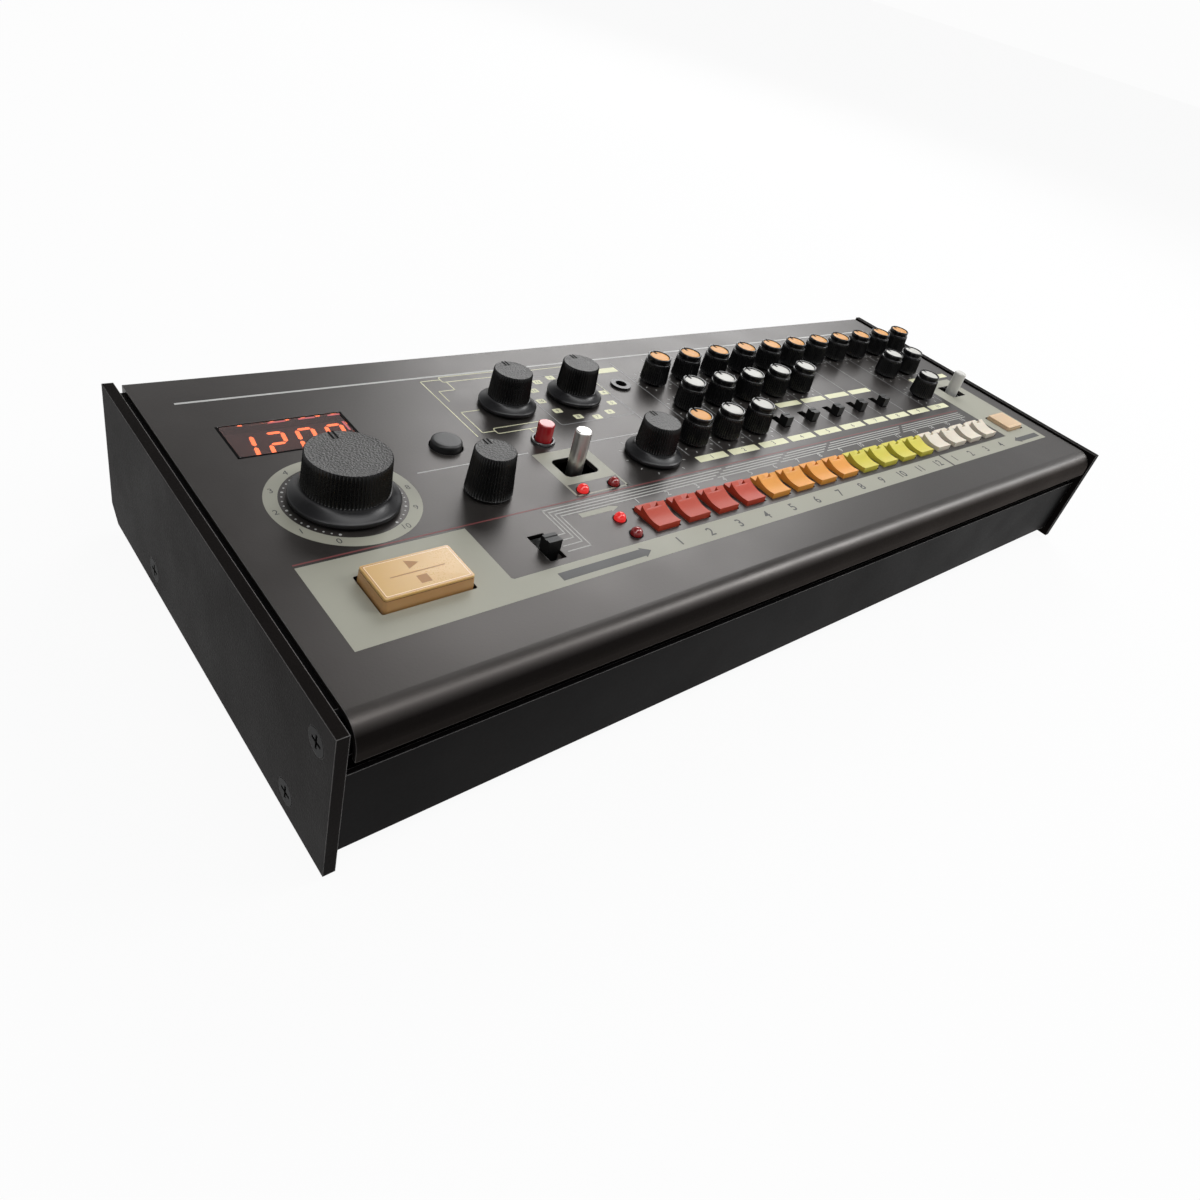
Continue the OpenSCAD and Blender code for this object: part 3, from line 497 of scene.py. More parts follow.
def flat_shape(shape, z):
    """A flat (points, faces) pair lifted to height z, with every face turned up: a face whose
    first corner turns right instead of left is reversed."""
    flat, faces = shape
    a, b, c = [flat[[face[i] for face in faces]] for i in range(3)]
    first, second = b - a, c - a
    up = first[:, 0] * second[:, 1] - first[:, 1] * second[:, 0] > 0
    turned_up = [face if is_up else face[::-1] for face, is_up in zip(faces, up)]
    return np.column_stack([flat, np.full(len(flat), z)]), turned_up


def joined(*parts):
    """Several (points, faces, material number or numbers) as one."""
    points, faces, numbers, count = [], [], [], 0
    for some, shapes, number in parts:
        points.append(np.asarray(some, float))
        faces += [tuple(i + count for i in face) for face in shapes]
        numbers.append(np.broadcast_to(number, len(shapes)))
        count += len(some)
    return np.concatenate(points), faces, np.concatenate(numbers)


def printing(name, shapes, z, material):
    """Joins flat shapes into one piece of ink at height z above the panel."""
    points, faces, _ = joined(*[(*flat_shape(shape, z), 0) for shape in shapes])
    return skin(name, points, faces, material, "case")


def ink(name, colour):
    """Matte screen ink: a thin coat whose edge density varies a little."""
    return finish_of(name, colour, 0.55, 3500.0, 0.06, dusty=0.02, tint=[c * 0.93 for c in colour])


cream_ink = ink("cream_ink", (0.34, 0.335, 0.27))
tab_ink = ink("tab_ink", (0.80, 0.79, 0.53))
white_ink = ink("white_ink", (0.50, 0.50, 0.48))
faint_ink = ink("faint_ink", (0.30, 0.30, 0.30))
line_ink = ink("line_ink", (0.42, 0.42, 0.39))
red_ink = ink("red_ink", (0.17, 0.036, 0.036))
dark_ink = ink("dark_ink", (0.045, 0.045, 0.045))

on_paint, on_ink = 0.02, 0.04
key_nodes = [f"step_key_{i:02d}" for i in range(1, 17)]
key_xs = [centre_of(n)[0] for n in key_nodes]
large_kinds = ("tempo", "value", "volume")
small_nodes = [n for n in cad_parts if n.endswith("_knob")
    and n.split("_")[0] not in large_kinds]
small_places = {n: centre_of(n) for n in small_nodes}
column_xs = sorted({round(p[0], 2) for p in small_places.values()})
column_pitch = (column_xs[-1] - column_xs[0]) / (len(column_xs) - 1)
voice_numbers = range(1, len(column_xs) + 1)


def opening(node, gap=0.45, r=0.5):
    """The outline of the panel's opening round a cap: the cap's plan, wider by gap. The node's
    box is wider than its cap by the stop flange under the panel."""
    low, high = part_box(node)
    flange = 0.8
    x0, v0 = [(low[i] - plates_low[i]) / MM + flange - gap for i in (0, 1)]
    x1, v1 = [(high[i] - plates_low[i]) / MM - flange + gap for i in (0, 1)]
    return rounded_outline(x0, v0, x1, v1, r)


def slot_outline(x, v, l, w, r=0.6):
    """Points round a slot of length l and width w about its middle."""
    return rounded_outline(x - l / 2, v - w / 2, x + l / 2, v + w / 2, r)


variation, fill = centre_of("variation_lever"), centre_of("fill_lever")
tempo = centre_of("tempo_knob")
ring_outer, ring_inner = 16.9, 13.9
strip_low, strip_high = 17.6, 24.0
strip_break = (226.6, 227.6)
ink_left, ink_right = 12.0, 296.9
start_field = np.array([(ink_left, strip_low), (strip_break[0], strip_low),
    (strip_break[0], strip_high), (51.5, strip_high), (51.0, strip_high + 0.5), (51.0, 43.3),
    (ink_left, 43.3)])
end_field = np.array([(strip_break[1], strip_low), (ink_right, strip_low), (ink_right, 64.5),
    (275.5, 64.5), (275.5, strip_high), (strip_break[1], strip_high)])
lever_field = rounded_outline(84.9, 50.2, 102.3, 65.1, 0.2)
lamp_frame = [bar(85.2, 45.1, 85.2, 50.3, 0.6), bar(84.9, 45.35, 102.3, 45.35, 0.5),
    bar(102.0, 45.1, 102.0, 50.3, 0.6)]
printing("cream_fields", [
    field(start_field, opening("start_button")),
    field(end_field, opening("tap_button"), slot_outline(*fill, 9.7, 8.0)),
    field(lever_field, slot_outline(*variation, 11.1, 8.4, 1.7)),
    field(circle_outline(*tempo, ring_outer), circle_outline(*tempo, ring_inner)),
    *lamp_frame, *arrow(80.5, 90.0, 92.8, 38.15, 1.7, 1.25),
], on_paint, cream_ink)

# Blank tabs carry the voices' numbers in a row under the columns, and again round the selector
tab_w, tab_low, tab_high, tab_r, number_ring = 12.3, 47.5, 50.4, 0.35, 12.0
selector, selector_turns = centre_of("voice_selector"), np.radians(90 - 30 * np.arange(12))
number_places = [around(*selector, number_ring, a) for a in selector_turns]
lower_tabs = [(x, (tab_low + tab_high) / 2) for x in column_xs[:10]]
upper_tabs = [(column_xs[k], 67.25) for k in range(3, 8)]
upper_tabs += [(column_xs[k], 67.55) for k in (10, 11)]
tabs = [slot_outline(x, v, tab_w, tab_high - tab_low, tab_r) for x, v in lower_tabs]
tabs += [slot_outline(x, v, tab_w, 2.7, tab_r) for x, v in upper_tabs]
tabs += [slot_outline(x, v, 2.9, 2.3, 0.4) for x, v in number_places]
tabs += [rounded_outline(131.8, 100.4, 144.6, 103.2, tab_r)]
tab_line_w = 0.3
tab_frames = [frame_lines(*corners, tab_line_w, 0.8) for corners in (
    (82.0, 105.4, 102.0, 108.6), (82.0, 76.8, 101.5, 79.8))]
tab_lines = [bar(*ends, tab_line_w) for ends in (
    (75.8, 77.0, 75.8, 107.25), (75.65, 107.1, 82.0, 107.1), (83.3, 105.4, 83.3, 101.0),
    (83.45, 101.0, 78.05, 101.0), (78.2, 101.0, 78.2, 95.3), (84.0, 89.3, 78.05, 89.3),
    (78.2, 89.3, 78.2, 78.25), (78.05, 78.4, 82.0, 78.4), (92.5, 76.8, 92.5, 75.0),
    (104.5, 107.0, 131.0, 107.0), (131.0, 107.15, 131.0, 88.0))]
printing("voice_tabs", [field(t) for t in tabs] + tab_frames + tab_lines, on_paint, tab_ink)

# White scales: ticks round every knob that has a range, dots round the tempo knob
scale_from, scale_to, dot_ring = 240, -60, 13.1
scale_turns = np.radians(np.linspace(scale_from, scale_to, 11))
dot_turns = np.radians(np.linspace(scale_from, scale_to, 41))


def ticks(x, v, inner, outer, width):
    """Short lines round a knob, from the inner to the outer radius."""
    return [bar(*around(x, v, inner, a), *around(x, v, outer, a), width) for a in scale_turns]


white = [bar(ink_left, 109.2, 296.0, 109.2, 0.75), bar(52.0, 66.3, 84.6, 66.3, 0.35),
    bar(102.6, 66.3, 128.6, 66.3, 0.35)]
for x, v in small_places.values():
    white += ticks(x, v, 5.75, 6.6, 0.34)
white += ticks(*centre_of("volume_knob"), 9.0, 9.9, 0.28)
white += [field(circle_outline(*around(*tempo, dot_ring, a), 0.22 if i % 4 else 0.32, 12))
    for i, a in enumerate(dot_turns)]
white += [figure(i + 1, x - 0.3, 38.4, 1.9) for i, x in enumerate(key_xs)]
printing("white_scales", white, on_paint, white_ink)

# Four signal lines run from the scale slide's places to the step keys, broken where they branch
line_pitch, line_w, stub_w, half_gap = 1.08, 0.38, 0.32, 0.9
scale_x, scale_v = centre_of("scale_slide")
signal = []
for i in range(4):
    level, corner = 39.7 + line_pitch * i, 75.6 - line_pitch * i
    stub = scale_v - 2.2 + 2.0 * i
    signal.append(bar(corner, stub, corner, level, stub_w))
    signal.append(bar(68.8, stub, corner + stub_w / 2, stub, stub_w))
    breaks = [130.5 + 2.2 * i, 158.5 + 2.2 * i, 182.0 + 1.8 * i, 226.4 + 1.2 * i]
    starts = [corner - stub_w / 2] + [b + half_gap for b in breaks]
    stops = [b - half_gap for b in breaks + [271.5]]
    signal += [bar(a, level, b, level, line_w) for a, b in zip(starts, stops)]
printing("signal_lines", signal, on_paint, line_ink)
separators = [bar(x, 51.6, x, 106.0, 0.28) for x in np.subtract(column_xs, column_pitch / 2)]
separators += [frame_lines(103.0, 76.0, 130.9, 103.0, 0.22, 1.0)]
printing("column_lines", separators, on_paint, faint_ink)
printing("red_line", [bar(ink_left, 44.2, 272.0, 44.2, 0.4)], on_paint, red_ink)

# Dark figures and arrows on the cream and the tabs
digit_ring = (ring_outer + ring_inner) / 2
ring_numbers = [figure(i, *around(*tempo, digit_ring, a), 1.7) for i, a in enumerate(scale_turns)]
strip_numbers = [figure(i % 12 + 1, x - 1.2, 20.6, 3.0, 0.05) for i, x in enumerate(key_xs)]
tab_numbers = [figure(n, x, v, 1.8) for n, (x, v) in zip(voice_numbers, lower_tabs)]
tab_numbers += [figure(voice_numbers[k], column_xs[k], 67.5, 1.8) for k in (10, 11)]
tab_numbers += [figure(n, x, v, 1.25) for n, (x, v) in zip(voice_numbers, number_places)]
arrows = [*arrow(61.5, 86.0, 88.8, 20.6, 2.6, 1.9), *arrow(294.5, 279.8, 276.4, 20.4, 2.4, 1.8)]
printing("dark_figures", ring_numbers + strip_numbers + tab_numbers + arrows, on_ink, dark_ink)

# ---- Display ----
# A smoked acrylic pane set a little below the panel, over a black digit block. Four slanted
# seven-segment digits glow through it. Near the pane's rear and right edges, their red is a
# painted reflection.
window_low, window_high = [[(corner[k] - plates_low[k]) / MM for k in (0, 1)]
    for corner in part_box("display_module")]
window = (*centre_of("display_module"), *np.subtract(window_high, window_low))
pane_top, pane_low, block_low, digit_z, gap_shade_w = -0.15, -1.3, -7.5, -2.95, 0.6
# Painted shade: a black line along the opening's left, front and right sides stands for the dark
# gap at the pane's edges.
gap_shade = finish_of("gap_shade", (0.001, 0.001, 0.001), 0.6, dusty=0.0, Specular_IOR_Level=0.02)
left, right, front = window_low[0] - 0.4, window_high[0] + 0.4, window_low[1] - 0.4
printing("window_gap_shade", [bar(*ends, gap_shade_w) for ends in (
    (left, front - 0.3, left, window_high[1]), (left - 0.3, front, right + 0.3, front),
    (right, front - 0.3, right, window_high[1]))], on_paint, gap_shade)


def loop_quads(names):
    """Four-cornered faces between the rows of a grid of point numbers whose rows are closed."""
    quads = np.stack([names[:-1], np.roll(names[:-1], -1, 1), np.roll(names[1:], -1, 1),
        names[1:]], -1)
    return [tuple(q) for q in quads.reshape(-1, 4).tolist()]


def stacked(x, v, l, w, levels, r=0.9):
    """Rounded rectangles (inset, height, material number) stacked into a closed body; the last
    one is the top face. Returns points, faces and material numbers."""
    loops = [slot_outline(x, v, l - 2 * inset, w - 2 * inset, max(r - inset, 0.25))
        for inset, height, kind in levels]
    points = np.concatenate([np.column_stack([loop, np.full(len(loop), height)])
        for loop, (inset, height, kind) in zip(loops, levels)])
    names = np.arange(len(points)).reshape(len(levels), -1)
    faces = loop_quads(names) + [tuple(names[0][::-1]), tuple(names[-1])]
    kinds = [kind for inset, height, kind in levels]
    return points, faces, np.append(np.repeat(kinds[:-1], names.shape[1]), (0, kinds[-1]))


smoked = finish_of("smoked_acrylic", (0.34, 0.23, 0.22), 0.05, 300.0, 0.0, drift=0.01, dusty=0.0,
    tint=(0.33, 0.22, 0.21), Transmission_Weight=0.86, IOR=1.49)
pane_levels = [(0, pane_low, 0), (0, pane_top - 0.1, 0), (0.1, pane_top, 0)]
points, faces, _ = stacked(*window, pane_levels, 0.7)
piece = skin("display_pane", points, faces, smoked, "case")
block_black = finish_of("block_black", (0.15, 0.13, 0.13), 0.5, 900.0, 0.05)
points, faces, _ = stacked(*window, [(0.4, block_low, 0), (0.4, digit_z - 0.05, 0)], 0.7)
skin("digit_block", points, faces, block_black, "case", ("display_module",))


def glowing(name, colour, strength, body=0.15):
    """Lit plastic: a satin surface that glows, hotter in the middle of slow noise patches. body
    is the share of its colour that it shows in plain light."""
    material, tree, output = new_material(name)
    shader = tree.nodes.new("ShaderNodeBsdfPrincipled")
    shader.inputs["Base Color"].default_value = (*[c * body for c in colour], 1)
    shader.inputs["Roughness"].default_value = 0.12
    shader.inputs["Emission Strength"].default_value = strength
    hotter = (colour[0], colour[1] * 1.6 + 0.01, colour[2] * 1.6 + 0.005)
    hot = mixed(tree, noise(tree, 700.0, 2.0), colour, hotter)
    tree.links.new(hot, shader.inputs["Emission Color"])
    tree.links.new(shader.outputs[0], output.inputs["Surface"])
    return material


def segment(ax, av, bx, bv, width):
    """One seven-segment bar between two ends, pointed at both."""
    a, b = np.array([ax, av]), np.array([bx, bv])
    along = (b - a) / np.hypot(*(b - a))
    side = np.array([-along[1], along[0]]) * width / 2
    tip = along * width / 2
    outline = np.array([a, a + tip - side, b - tip - side, b, b - tip + side, a + tip + side])
    return outline, [(0, 1, 2), (0, 2, 3), (0, 3, 4), (0, 4, 5)]


digit_w, digit_h, slant, segment_w, digit_pitch = 3.9, 9.4, 0.15, 1.05, 7.48
digit_left, digit_low = window[0] - 13.2, window[1] - digit_h / 2
digit_ends = {"a": ((0, 2), (1, 2)), "b": ((1, 1), (1, 2)), "c": ((1, 0), (1, 1)),
    "d": ((0, 0), (1, 0)), "e": ((0, 0), (0, 1)), "f": ((0, 1), (0, 2)), "g": ((0, 1), (1, 1))}
digit_bars = {"1": "bc", "2": "abged", "0": "abcdef"}
lit, places = [], [digit_left + digit_pitch * i for i in range(4)]
for symbol, left in zip("1200", places):
    for name in digit_bars[symbol]:
        side, up = np.array(digit_ends[name]).T
        up = up * digit_h / 2
        ends = np.stack([left + side * digit_w + up * slant, digit_low + up], -1)
        shrink = (ends[1] - ends[0]) * 0.05
        lit.append(segment(*(ends[0] + shrink), *(ends[1] - shrink), segment_w))
lit.append(field(circle_outline(places[2] + digit_w + 1.3, digit_low + 0.1, 0.5, 16)))
printing("lit_digits", lit, digit_z, glowing("lit_segment", (1.0, 0.20, 0.07), 7.0))

# Painted reflection: short faint glowing streaks by the pane's polished rear and right edges stand
# for the digits' red reflected there
streak_v, streak_x = window_high[1] - 0.75, window_high[0] - 0.75
reflection_streaks = [bar(left + 2.4, streak_v, left + 6.6, streak_v, 0.6) for left in places[1:]]
reflection_streaks.append(bar(streak_x, digit_low + 3.0, streak_x, digit_low + 7.2, 0.6))
printing("painted_red_reflection", reflection_streaks, pane_top + 0.02, glowing("painted_reflection_glow", (0.50, 0.09, 0.10), 1.0))

# ---- Small voice knobs ----
# Gloss black moulded knobs with fine finger flutes, a grooved rim with a pointer notch, and a
# coloured disc pressed into the recessed top. Each is pushed onto its control's round shaft.


def turned(x, v, profile, count=96, flutes=0, depth=0.0, fluted=(0, 0)):
    """A profile of (radius, height) pairs turned about the upright axis at (x, v), as points in
    panel millimetres. Point i, j is at angle 2 pi j / count from +v. Between the profile rows
    named by fluted the radius falls by depth * |sin(flutes * angle / 2)|. Rows of radius 0
    close into one pole. Returns points, faces and each face's profile row."""
    profile = np.array(profile, float)
    angle = np.arange(count) * 2 * math.pi / count
    rows = np.arange(len(profile))
    cut = ((rows >= fluted[0]) & (rows < fluted[1])) * depth
    radius = profile[:, 0, None] - cut[:, None] * np.abs(np.sin(flutes * angle / 2))[None, :]
    points = np.stack([x + radius * np.sin(-angle), v + radius * np.cos(angle),
        np.broadcast_to(profile[:, 1, None], radius.shape)], -1)
    names = np.arange(len(profile) * count).reshape(len(profile), count)
    names[profile[:, 0] == 0] = names[profile[:, 0] == 0, :1]
    used, renamed = np.unique(loop_quads(names), return_inverse=True)
    faces = [tuple(dict.fromkeys(q)) for q in renamed.reshape(-1, 4).tolist()]
    return points.reshape(-1, 3)[used], faces, np.repeat(rows[:-1], count)


knob_gap, shaft_r, shaft_low = 0.7, 2.4, -2.5
gloss_black = finish_of("gloss_black", (0.004, 0.004, 0.0045), 0.17, 3500.0, 0.03, drift=0.02,
    dusty=0.008, Specular_IOR_Level=0.24)
notch_black = finish_of("notch_black", (0.001, 0.001, 0.001), 0.6, 2500.0, 0.05, dusty=0.0,
    Specular_IOR_Level=0.05)
orange_disc = finish_of("orange_disc", (0.66, 0.31, 0.080), 0.45, 3000.0, 0.05, dusty=0.015,
    Specular_IOR_Level=0.25)
white_disc = finish_of("white_disc", (0.56, 0.55, 0.51), 0.45, 3000.0, 0.05, dusty=0.03,
    Specular_IOR_Level=0.25)
small_r, small_h, rim_r, disc_r, recess = 4.5, 9.2, 3.8, 3.15, 0.7
small_profile = [(0, shaft_low), (shaft_r, shaft_low), (shaft_r, knob_gap),
    (small_r - 0.15, knob_gap), (small_r, knob_gap + 0.15), (small_r, knob_gap + 0.8),
    (small_r - 0.08, 2.5), (small_r - 0.19, 4.5), (small_r - 0.3, 6.3),
    (rim_r + 0.3, small_h - 1.9), (rim_r + 0.24, small_h - 1.8), (rim_r + 0.1, small_h - 1.74),
    (rim_r - 0.06, small_h - 1.68), (rim_r - 0.08, small_h - 1.55), (rim_r, small_h - 1.42),
    (rim_r, small_h - 0.25), (rim_r - 0.06, small_h - 0.08), (rim_r - 0.16, small_h),
    (disc_r + 0.22, small_h - 0.02), (disc_r + 0.1, small_h - 0.15),
    (disc_r + 0.05, small_h - recess), (disc_r, small_h - recess - 0.02),
    (disc_r, small_h - 0.35), (disc_r - 0.12, small_h - 0.25), (2.0, small_h - 0.2),
    (0, small_h - 0.2)]
side_rows, disc_row = (5, 9), 21
for node, (x, v) in small_places.items():
    tone, disc = ("orange", orange_disc) if node.endswith("_level_knob") else ("white", white_disc)
    points, faces, row = turned(x, v, small_profile, 240, 40, 0.22, side_rows)
    in_notch = (np.abs(points[:, 0] - x) < 0.42) & (points[:, 1] > v + disc_r - 0.02)
    points[in_notch, 2] = np.minimum(points[in_notch, 2], small_h - recess)
    pointer = flat_shape(bar(x, v + disc_r - 1.5, x, v + disc_r + 0.05, 0.8), small_h - 0.17)
    points, faces, number = joined((points, faces, (row >= disc_row).astype(int)), (*pointer, 2))
    piece = skin(node.replace("_knob", "_cap"), points, faces, [gloss_black, disc, notch_black],
        node, (node,), 40, number)

# ---- Large knobs ----
# Satin black knobs with deep flutes. Their flat tops are spark-eroded to a grey grain and carry
# two short pointer slots. All but the value knob stand on a smooth, shiny skirt.
satin_black = finish_of("satin_black", (0.005, 0.005, 0.005), 0.27, 3000.0, 0.05, dusty=0.02,
    Specular_IOR_Level=0.27)
skirt_black = finish_of("skirt_black", (0.005, 0.005, 0.006), 0.32, 2200.0, 0.02, dusty=0.015,
    Specular_IOR_Level=0.24)
eroded_top = finish_of("eroded_top", (0.022, 0.021, 0.020), 0.46, 2000.0, 0.9, drift=0.02,
    dusty=0.05, tint=(0.048, 0.046, 0.044), depth=0.35)


def knob_profile(r, top_r, h, skirt, skirt_h):
    """From the shaft out to the skirt's edge, up its concave slope, whose radius falls with
    (1 - t)^1.6, up the body's straight side and over the small top chamfer to the middle.
    Returns the profile, the fluted rows and the top's row."""
    rows = [(0, shaft_low), (shaft_r, shaft_low), (shaft_r, knob_gap)]
    if skirt:
        rows += [(skirt - 0.15, knob_gap), (skirt, knob_gap + 0.15), (skirt, knob_gap + 0.8),
            (skirt - 0.08, knob_gap + 0.95)]
        slope_h = skirt_h - knob_gap - 1.1
        rows += [(r + 0.12 + (skirt - 0.3 - r) * (1 - t) ** 1.6, knob_gap + 1.05 + slope_h * t)
            for t in np.linspace(0, 1, 9)[:-1]]
        rows += [(r + 0.12, skirt_h - 0.05), (r - 0.25, skirt_h)]
    else:
        rows += [(r - 0.1, knob_gap), (r, knob_gap + 0.1)]
    first, foot_h = len(rows), rows[-1][1]
    rows += [(r + (top_r - r) * t, foot_h + 0.1 + (h - 0.35 - foot_h) * t)
        for t in np.linspace(0, 1, 6)]
    last = len(rows)
    rows += [(top_r - 0.12, h - 0.1), (top_r - 0.3, h - 0.02), (top_r - 0.45, h - 0.05),
        (top_r * 0.6, h - 0.05), (0, h - 0.05)]
    return rows, (first, last + 1), last


# Foot radius, top radius, height, skirt's radius and height; then the flutes' number and depth
skirted = (5.9, 5.4, 11.2, 8.2, 3.4), (48, 0.36)
large_knobs = {"tempo_knob": ((9.6, 9.35, 12.1, 12.2, 3.8), (72, 0.42)),
    "value_knob": ((5.9, 5.1, 11.8, None, 0), (48, 0.36)),
    "mode_selector": skirted, "voice_selector": skirted, "volume_knob": skirted}
knob_finishes = [satin_black, skirt_black, eroded_top, notch_black]
for node, (sizes, (flutes, depth)) in large_knobs.items():
    x, v = centre_of(node)
    top_r, h = sizes[1:3]
    profile, fluted, top_row = knob_profile(*sizes)
    points, faces, row = turned(x, v, profile, flutes * 6, flutes, depth, fluted)
    number = np.where(row > top_row, 2, np.where(row < fluted[0] - 1, 1, 0))
    slot_from, slot_to = v + 0.8 * top_r - 1.4, v + top_r - 0.1
    slots = [flat_shape(bar(x + side, slot_from, x + side, slot_to, 0.5), h + 0.01)
        for side in (-0.5, 0.5)]
    points, faces, number = joined((points, faces, number), *[(*slot, 3) for slot in slots])
    piece = skin(node + "_cap", points, faces, knob_finishes, node, (node,), 40, number)

# ---- Step keys ----
# Sixteen moulded keys in four colours. The top is scooped like a rocker, rises to a notched rear
# edge over the lamp and drops to a low shelf. Each key stands in its own opening.
key_w, key_d, key_v0, shelf, shelf_h, dip = 7.6, 9.5, 26.2, 2.2, 1.0, 0.4
key_front_h, key_rear_h, key_low, notch_w, notch_d = 1.4, 2.7, -1.8, 2.4, 1.0
key_finishes = [("red_key", (0.44, 0.050, 0.022)), ("orange_key", (0.74, 0.31, 0.050)),
    ("yellow_key", (0.60, 0.53, 0.065)), ("cream_key", (0.70, 0.63, 0.52))]


def soften(piece, width, segments=3):
    """Rounds a piece's edges by width millimetres."""
    rounding = piece.modifiers.new("edges", "BEVEL")
    rounding.width = width * MM
    rounding.segments = segments
    rounding.limit_method = "ANGLE"
    rounding.angle_limit = math.radians(35)
    rounding.harden_normals = True


def merged(piece):
    """Merges a piece's coincident points, which also drops the faces between them."""
    made = bmesh.new()
    made.from_mesh(piece.data)
    bmesh.ops.remove_doubles(made, verts=made.verts, dist=1e-7)
    made.to_mesh(piece.data)
    made.free()


def key_points(x):
    """Side-view loops of the key at six places across it, as a grid: front face, scooped top
    z = front + (rear - front) t^2 - dip sin(pi t), rear edge, shelf, back. The two inner loops
    stop notch_d earlier at the top, which leaves the notch."""
    top_d = key_d - shelf
    t = np.append(np.linspace(0, 1, 15)[:-2], 1 - notch_d / top_d)
    t.sort()
    rise = (key_rear_h - key_front_h) * t ** 2
    scoop = np.stack([t * top_d, key_front_h + rise - dip * np.sin(math.pi * t)], -1)
    edge_v, edge_h = scoop[-1]
    back = [(key_d, shelf_h), (key_d, key_low), (0, key_low)]
    full = [*scoop, (top_d, key_rear_h), (top_d, shelf_h), (top_d, shelf_h), *back]
    short = [*scoop, (edge_v, edge_h), (edge_v, shelf_h), (top_d, shelf_h), *back]
    sides = np.array([-key_w, -notch_w, -notch_w, notch_w, notch_w, key_w]) / 2
    loops = np.array([full, full, short, short, full, full])
    across = np.broadcast_to(x + sides[:, None], loops.shape[:2])
    return np.stack([across, key_v0 + loops[..., 0], loops[..., 1]], -1)


for number, (node, x) in enumerate(zip(key_nodes, key_xs)):
    grid = key_points(x)
    names = np.arange(grid[..., 0].size).reshape(grid.shape[:2])
    faces = [(a, b, c, d) for a, d, c, b in loop_quads(names)]
    faces += [tuple(names[0]), tuple(names[-1][::-1])]
    slot_name, colour = key_finishes[number // 4]
    if number % 4 == 0:
        plastic = finish_of(slot_name + "_plastic", colour, 0.5, 1400.0, 0.12, dusty=0.05,
            Subsurface_Weight=0.15, Subsurface_Radius=(0.0012, 0.0005, 0.0003),
            Specular_IOR_Level=0.3)
    piece = skin(f"step_cap_{number + 1:02d}", grid.reshape(-1, 3), faces, plastic, node,
        (node,), 30)
    merged(piece)
    soften(piece, 0.22)

# ---- Start and tap buttons ----
# Tall caps of clear amber plastic over a warm lamp, each closed by a thin lens plate that leaves
# a fine seam just under the top edge. The start button carries a plain triangle, line and square.
amber_depth = (0.003, 0.0015, 0.0006)
amber_body = finish_of("amber_body", (0.46, 0.23, 0.080), 0.22, 900.0, 0.03, dusty=0.01,
    tint=(0.62, 0.36, 0.15), Subsurface_Weight=0.35, Subsurface_Radius=amber_depth,
    Coat_Weight=0.15, Coat_Roughness=0.1)
amber_lens = finish_of("amber_lens", (0.60, 0.355, 0.100), 0.3, 2400.0, 0.02, dusty=0.0,
    tint=(0.65, 0.40, 0.130), Subsurface_Weight=0.25, Subsurface_Radius=amber_depth,
    Coat_Weight=0.1, Coat_Roughness=0.12)
pale_lens = finish_of("pale_lens", (0.66, 0.44, 0.25), 0.4, 700.0, 0.25, dusty=0.02,
    tint=(0.76, 0.56, 0.36), Subsurface_Weight=0.2, Subsurface_Radius=amber_depth)
amber_line = finish_of("amber_line", (0.80, 0.62, 0.38), 0.3, 900.0, 0.03, dusty=0.0)
amber_seam = finish_of("amber_seam", (0.16, 0.07, 0.025), 0.4, 900.0, 0.05, dusty=0.01)
sign_ink = ink("sign_ink", (0.42, 0.22, 0.085))
seam, sign_z = 0.5, 0.02
start_x, start_v = centre_of("start_button")
signs = [bar(start_x - 6.2, start_v, start_x + 6.2, start_v, 0.28),
    triangle((start_x - 1.3, start_v + 1.2), (start_x + 1.5, start_v + 2.6),
        (start_x - 1.3, start_v + 4.0)),
    bar(start_x - 1.2, start_v - 2.5, start_x + 1.2, start_v - 2.5, 2.4)]
for node, l, w, h, taper, body, lens, marks in (
        ("start_button", 20.8, 11.6, 3.1, 0.38, amber_body, amber_lens, signs),
        ("tap_button", 11.4, 9.8, 1.4, 0.35, pale_lens, pale_lens, [])):
    x, v = centre_of(node)
    levels = [(0, key_low, 0), (0, 0.3, 0), (0.08, 0.9, 0), (taper - 0.2, h - seam - 0.12, 2),
        (taper, h - seam - 0.1, 2), (taper, h - seam, 1), (taper - 0.18, h - seam + 0.02, 1),
        (taper - 0.15, h - 0.14, 1), (taper - 0.02, h - 0.02, 1), (taper + 0.2, h, 0),
        (taper + 0.5, h, 3), (taper + 0.65, h + 0.01, 1)]
    marks = [(*flat_shape(mark, h + sign_z), 4) for mark in marks]
    points, faces, number = joined(stacked(x, v, l, w, levels), *marks)
    piece = skin(node + "_cap", points, faces, [body, lens, amber_seam, amber_line, sign_ink],
        node, (node,), 30, number)

# ---- Round buttons ----
# The red clear button is gloss plastic and stands tall in a turned metal collar; the black
# function button is satin plastic, low and domed.
red_gloss = finish_of("red_gloss", (0.36, 0.006, 0.011), 0.25, 1500.0, 0.03, dusty=0.05,
    Coat_Weight=0.3, Coat_Roughness=0.1)
satin_cap = finish_of("satin_cap", (0.009, 0.009, 0.0095), 0.42, 2500.0, 0.06, dusty=0.04,
    Specular_IOR_Level=0.3)


def rounded_top(r, h, edge, low, steps=7):
    """A round cap's profile: up the side, over a quarter circle of radius edge, to the middle."""
    turn = np.linspace(0, math.pi / 2, steps)
    arc = [(r - edge + edge * math.cos(a), h - edge + edge * math.sin(a)) for a in turn]
    return [(0, low), (r, low)] + arc + [(r * 0.5, h), (0, h)]


round_buttons = {"clear_button": (2.3, 5.6, 0.35, red_gloss, "red_button"),
    "function_button": (4.0, 2.0, 0.7, satin_cap, "black_button")}
for node, (r, h, edge, material, slot_name) in round_buttons.items():
    x, v = centre_of(node)
    points, faces, _ = turned(x, v, rounded_top(r, h, edge, key_low), 72)
    piece = skin(node + "_cap", points, faces, material, node, (node,), 40)

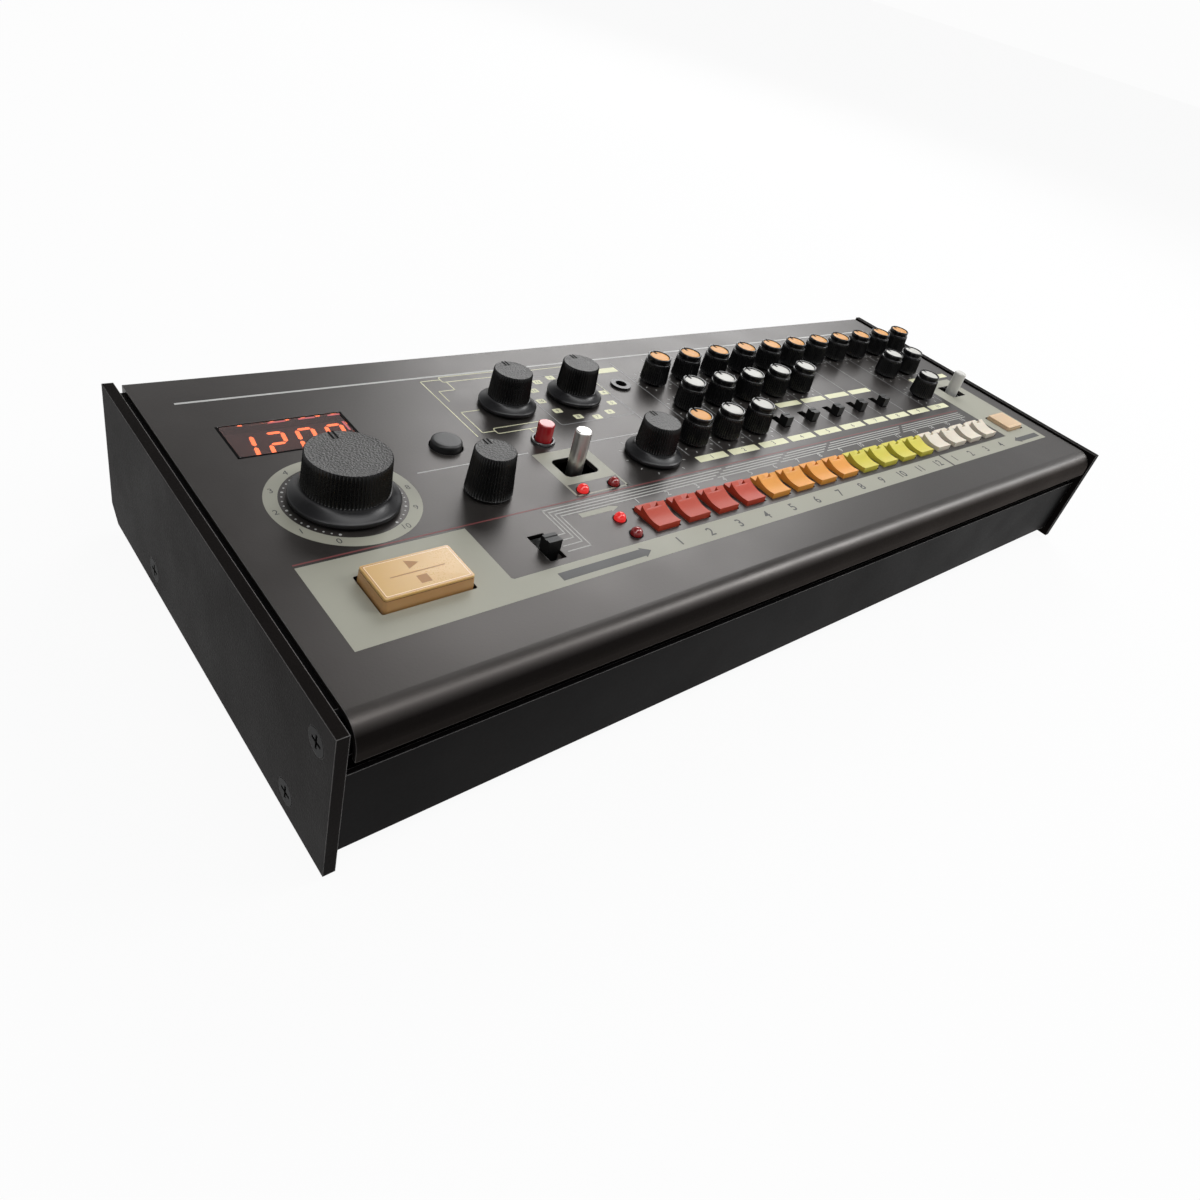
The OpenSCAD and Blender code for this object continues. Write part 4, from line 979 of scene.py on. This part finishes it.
collar = [(2.5, -0.1), (3.35, -0.1), (3.35, 0.05), (3.3, 0.55), (3.1, 0.76), (2.85, 0.78),
    (2.62, 0.7), (2.5, 0.5), (2.5, -0.1)]
collar_steel = finish_of("collar_steel", (0.05, 0.05, 0.052), 0.22, 3000.0, 0.04, dusty=0.02,
    Metallic=0.7)
points, faces, _ = turned(*centre_of("clear_button"), collar, 72)
skin("clear_collar", points, faces, collar_steel, "case", (), 40)

# ---- Levers ----
# The variation lever is a turned steel stick with a rounded tip; the fill lever is pale grey
# plastic. Each rocks left and right on a cross pin under the panel.
stick_steel = finish_of("stick_steel", (0.50, 0.49, 0.47), 0.34, 2600.0, 0.06, dusty=0.03,
    Metallic=1.0)
stick_plastic = finish_of("stick_plastic", (0.62, 0.61, 0.57), 0.4, 2000.0, 0.06, dusty=0.05)
stick_low = -10.8
for node, r, h, edge, material, slot_name in (
        ("variation_lever", 2.2, 11.0, 0.5, stick_steel, "lever_metal"),
        ("fill_lever", 2.3, 8.5, 0.7, stick_plastic, "lever_plastic")):
    points, faces, _ = turned(*centre_of(node), rounded_top(r, h, edge, stick_low), 72)
    piece = skin(node + "_stick", points, faces, material, node, (node,), 40)

# ---- Slide switches ----
# Black moulded slide caps, each with a raised ridge at both ends for the finger and a narrower
# stem through the panel. The five voice caps are alike; the scale cap is wider.
slide_black = finish_of("slide_black", (0.005, 0.005, 0.005), 0.36, 2600.0, 0.05, dusty=0.02,
    Specular_IOR_Level=0.2)


def slide_cap(x, v, w):
    """A block whose side view has a groove between two ridges and a narrower stem that passes
    through the panel, drawn across the width w."""
    top, stem, inner = 3.5, 1.25, 0.5
    half_view = [(stem, -3.0), (stem, 0.2), (1.6, 0.35), (1.6, top), (inner, top),
        (inner - 0.1, top - 0.2)]
    view = np.array(half_view + [(-side, z) for side, z in half_view[::-1]])
    count = len(view)
    points = np.concatenate([np.column_stack([np.full(count, x + side), v + view[:, 0], view[:, 1]])
        for side in (w / 2, -w / 2)])
    names = np.arange(2 * count).reshape(2, count)
    faces = [quad[::-1] for quad in loop_quads(names)]
    return points, faces + [tuple(names[0]), tuple(names[1][::-1])], 0


slide_places = [(column_xs[k], 56.8) for k in range(3, 8)]
for name, node, places, w in (("scale_cap", "scale_slide", [(scale_x, scale_v)], 3.8),
        ("voice_caps", "voice_slides", slide_places, 3.2)):
    points, faces, _ = joined(*[slide_cap(x, v, w) for x, v in places])
    piece = skin(name, points, faces, slide_black, node, (node,), 30)
    soften(piece, 0.15, 2)

# ---- Indicator lamps ----
# Red plastic lenses, domed and flanged, pressed through the panel from behind, each with a thin
# black ring of painted shade round it for the dark of the gap. Two of the four are lit.
dark_lens = finish_of("dark_lens", (0.26, 0.004, 0.005), 0.14, 900.0, 0.02, drift=0.02,
    dusty=0.03, Coat_Weight=0.2, Coat_Roughness=0.05)
lit_lens = glowing("lit_lens", (0.95, 0.022, 0.022), 0.5, 0.5)
lamp_r, dome_low, dome_h, lens_low = 1.65, 0.35, 1.95, -2.0
lamps = {(88.1, 47.0): 1, (98.5, 47.0): 0, (89.5, 33.6): 1, (89.5, 27.1): 0}
# A black ring round each lens is painted shade for the gap.
printing("lamp_gap_shade", [field(*[circle_outline(*place, lamp_r + wider, 48)
    for wider in (0.22, -0.15)]) for place in lamps], on_ink, notch_black)
lens_profile = [(0, lens_low), (lamp_r - 0.2, lens_low), (lamp_r - 0.1, 0.25)]
lens_profile += [((lamp_r - 0.12) * math.cos(a), dome_low + (dome_h - dome_low) * math.sin(a))
    for a in np.linspace(0, math.pi / 2, 9)[:-1]] + [(0, dome_h)]
lenses = [(*turned(*place, lens_profile, 48)[:2], lit) for place, lit in lamps.items()]
points, faces, number = joined(*lenses)
piece = skin("lamp_lenses", points, faces, [dark_lens, lit_lens], "case", ("indicator_lamps",), 60,
    number)
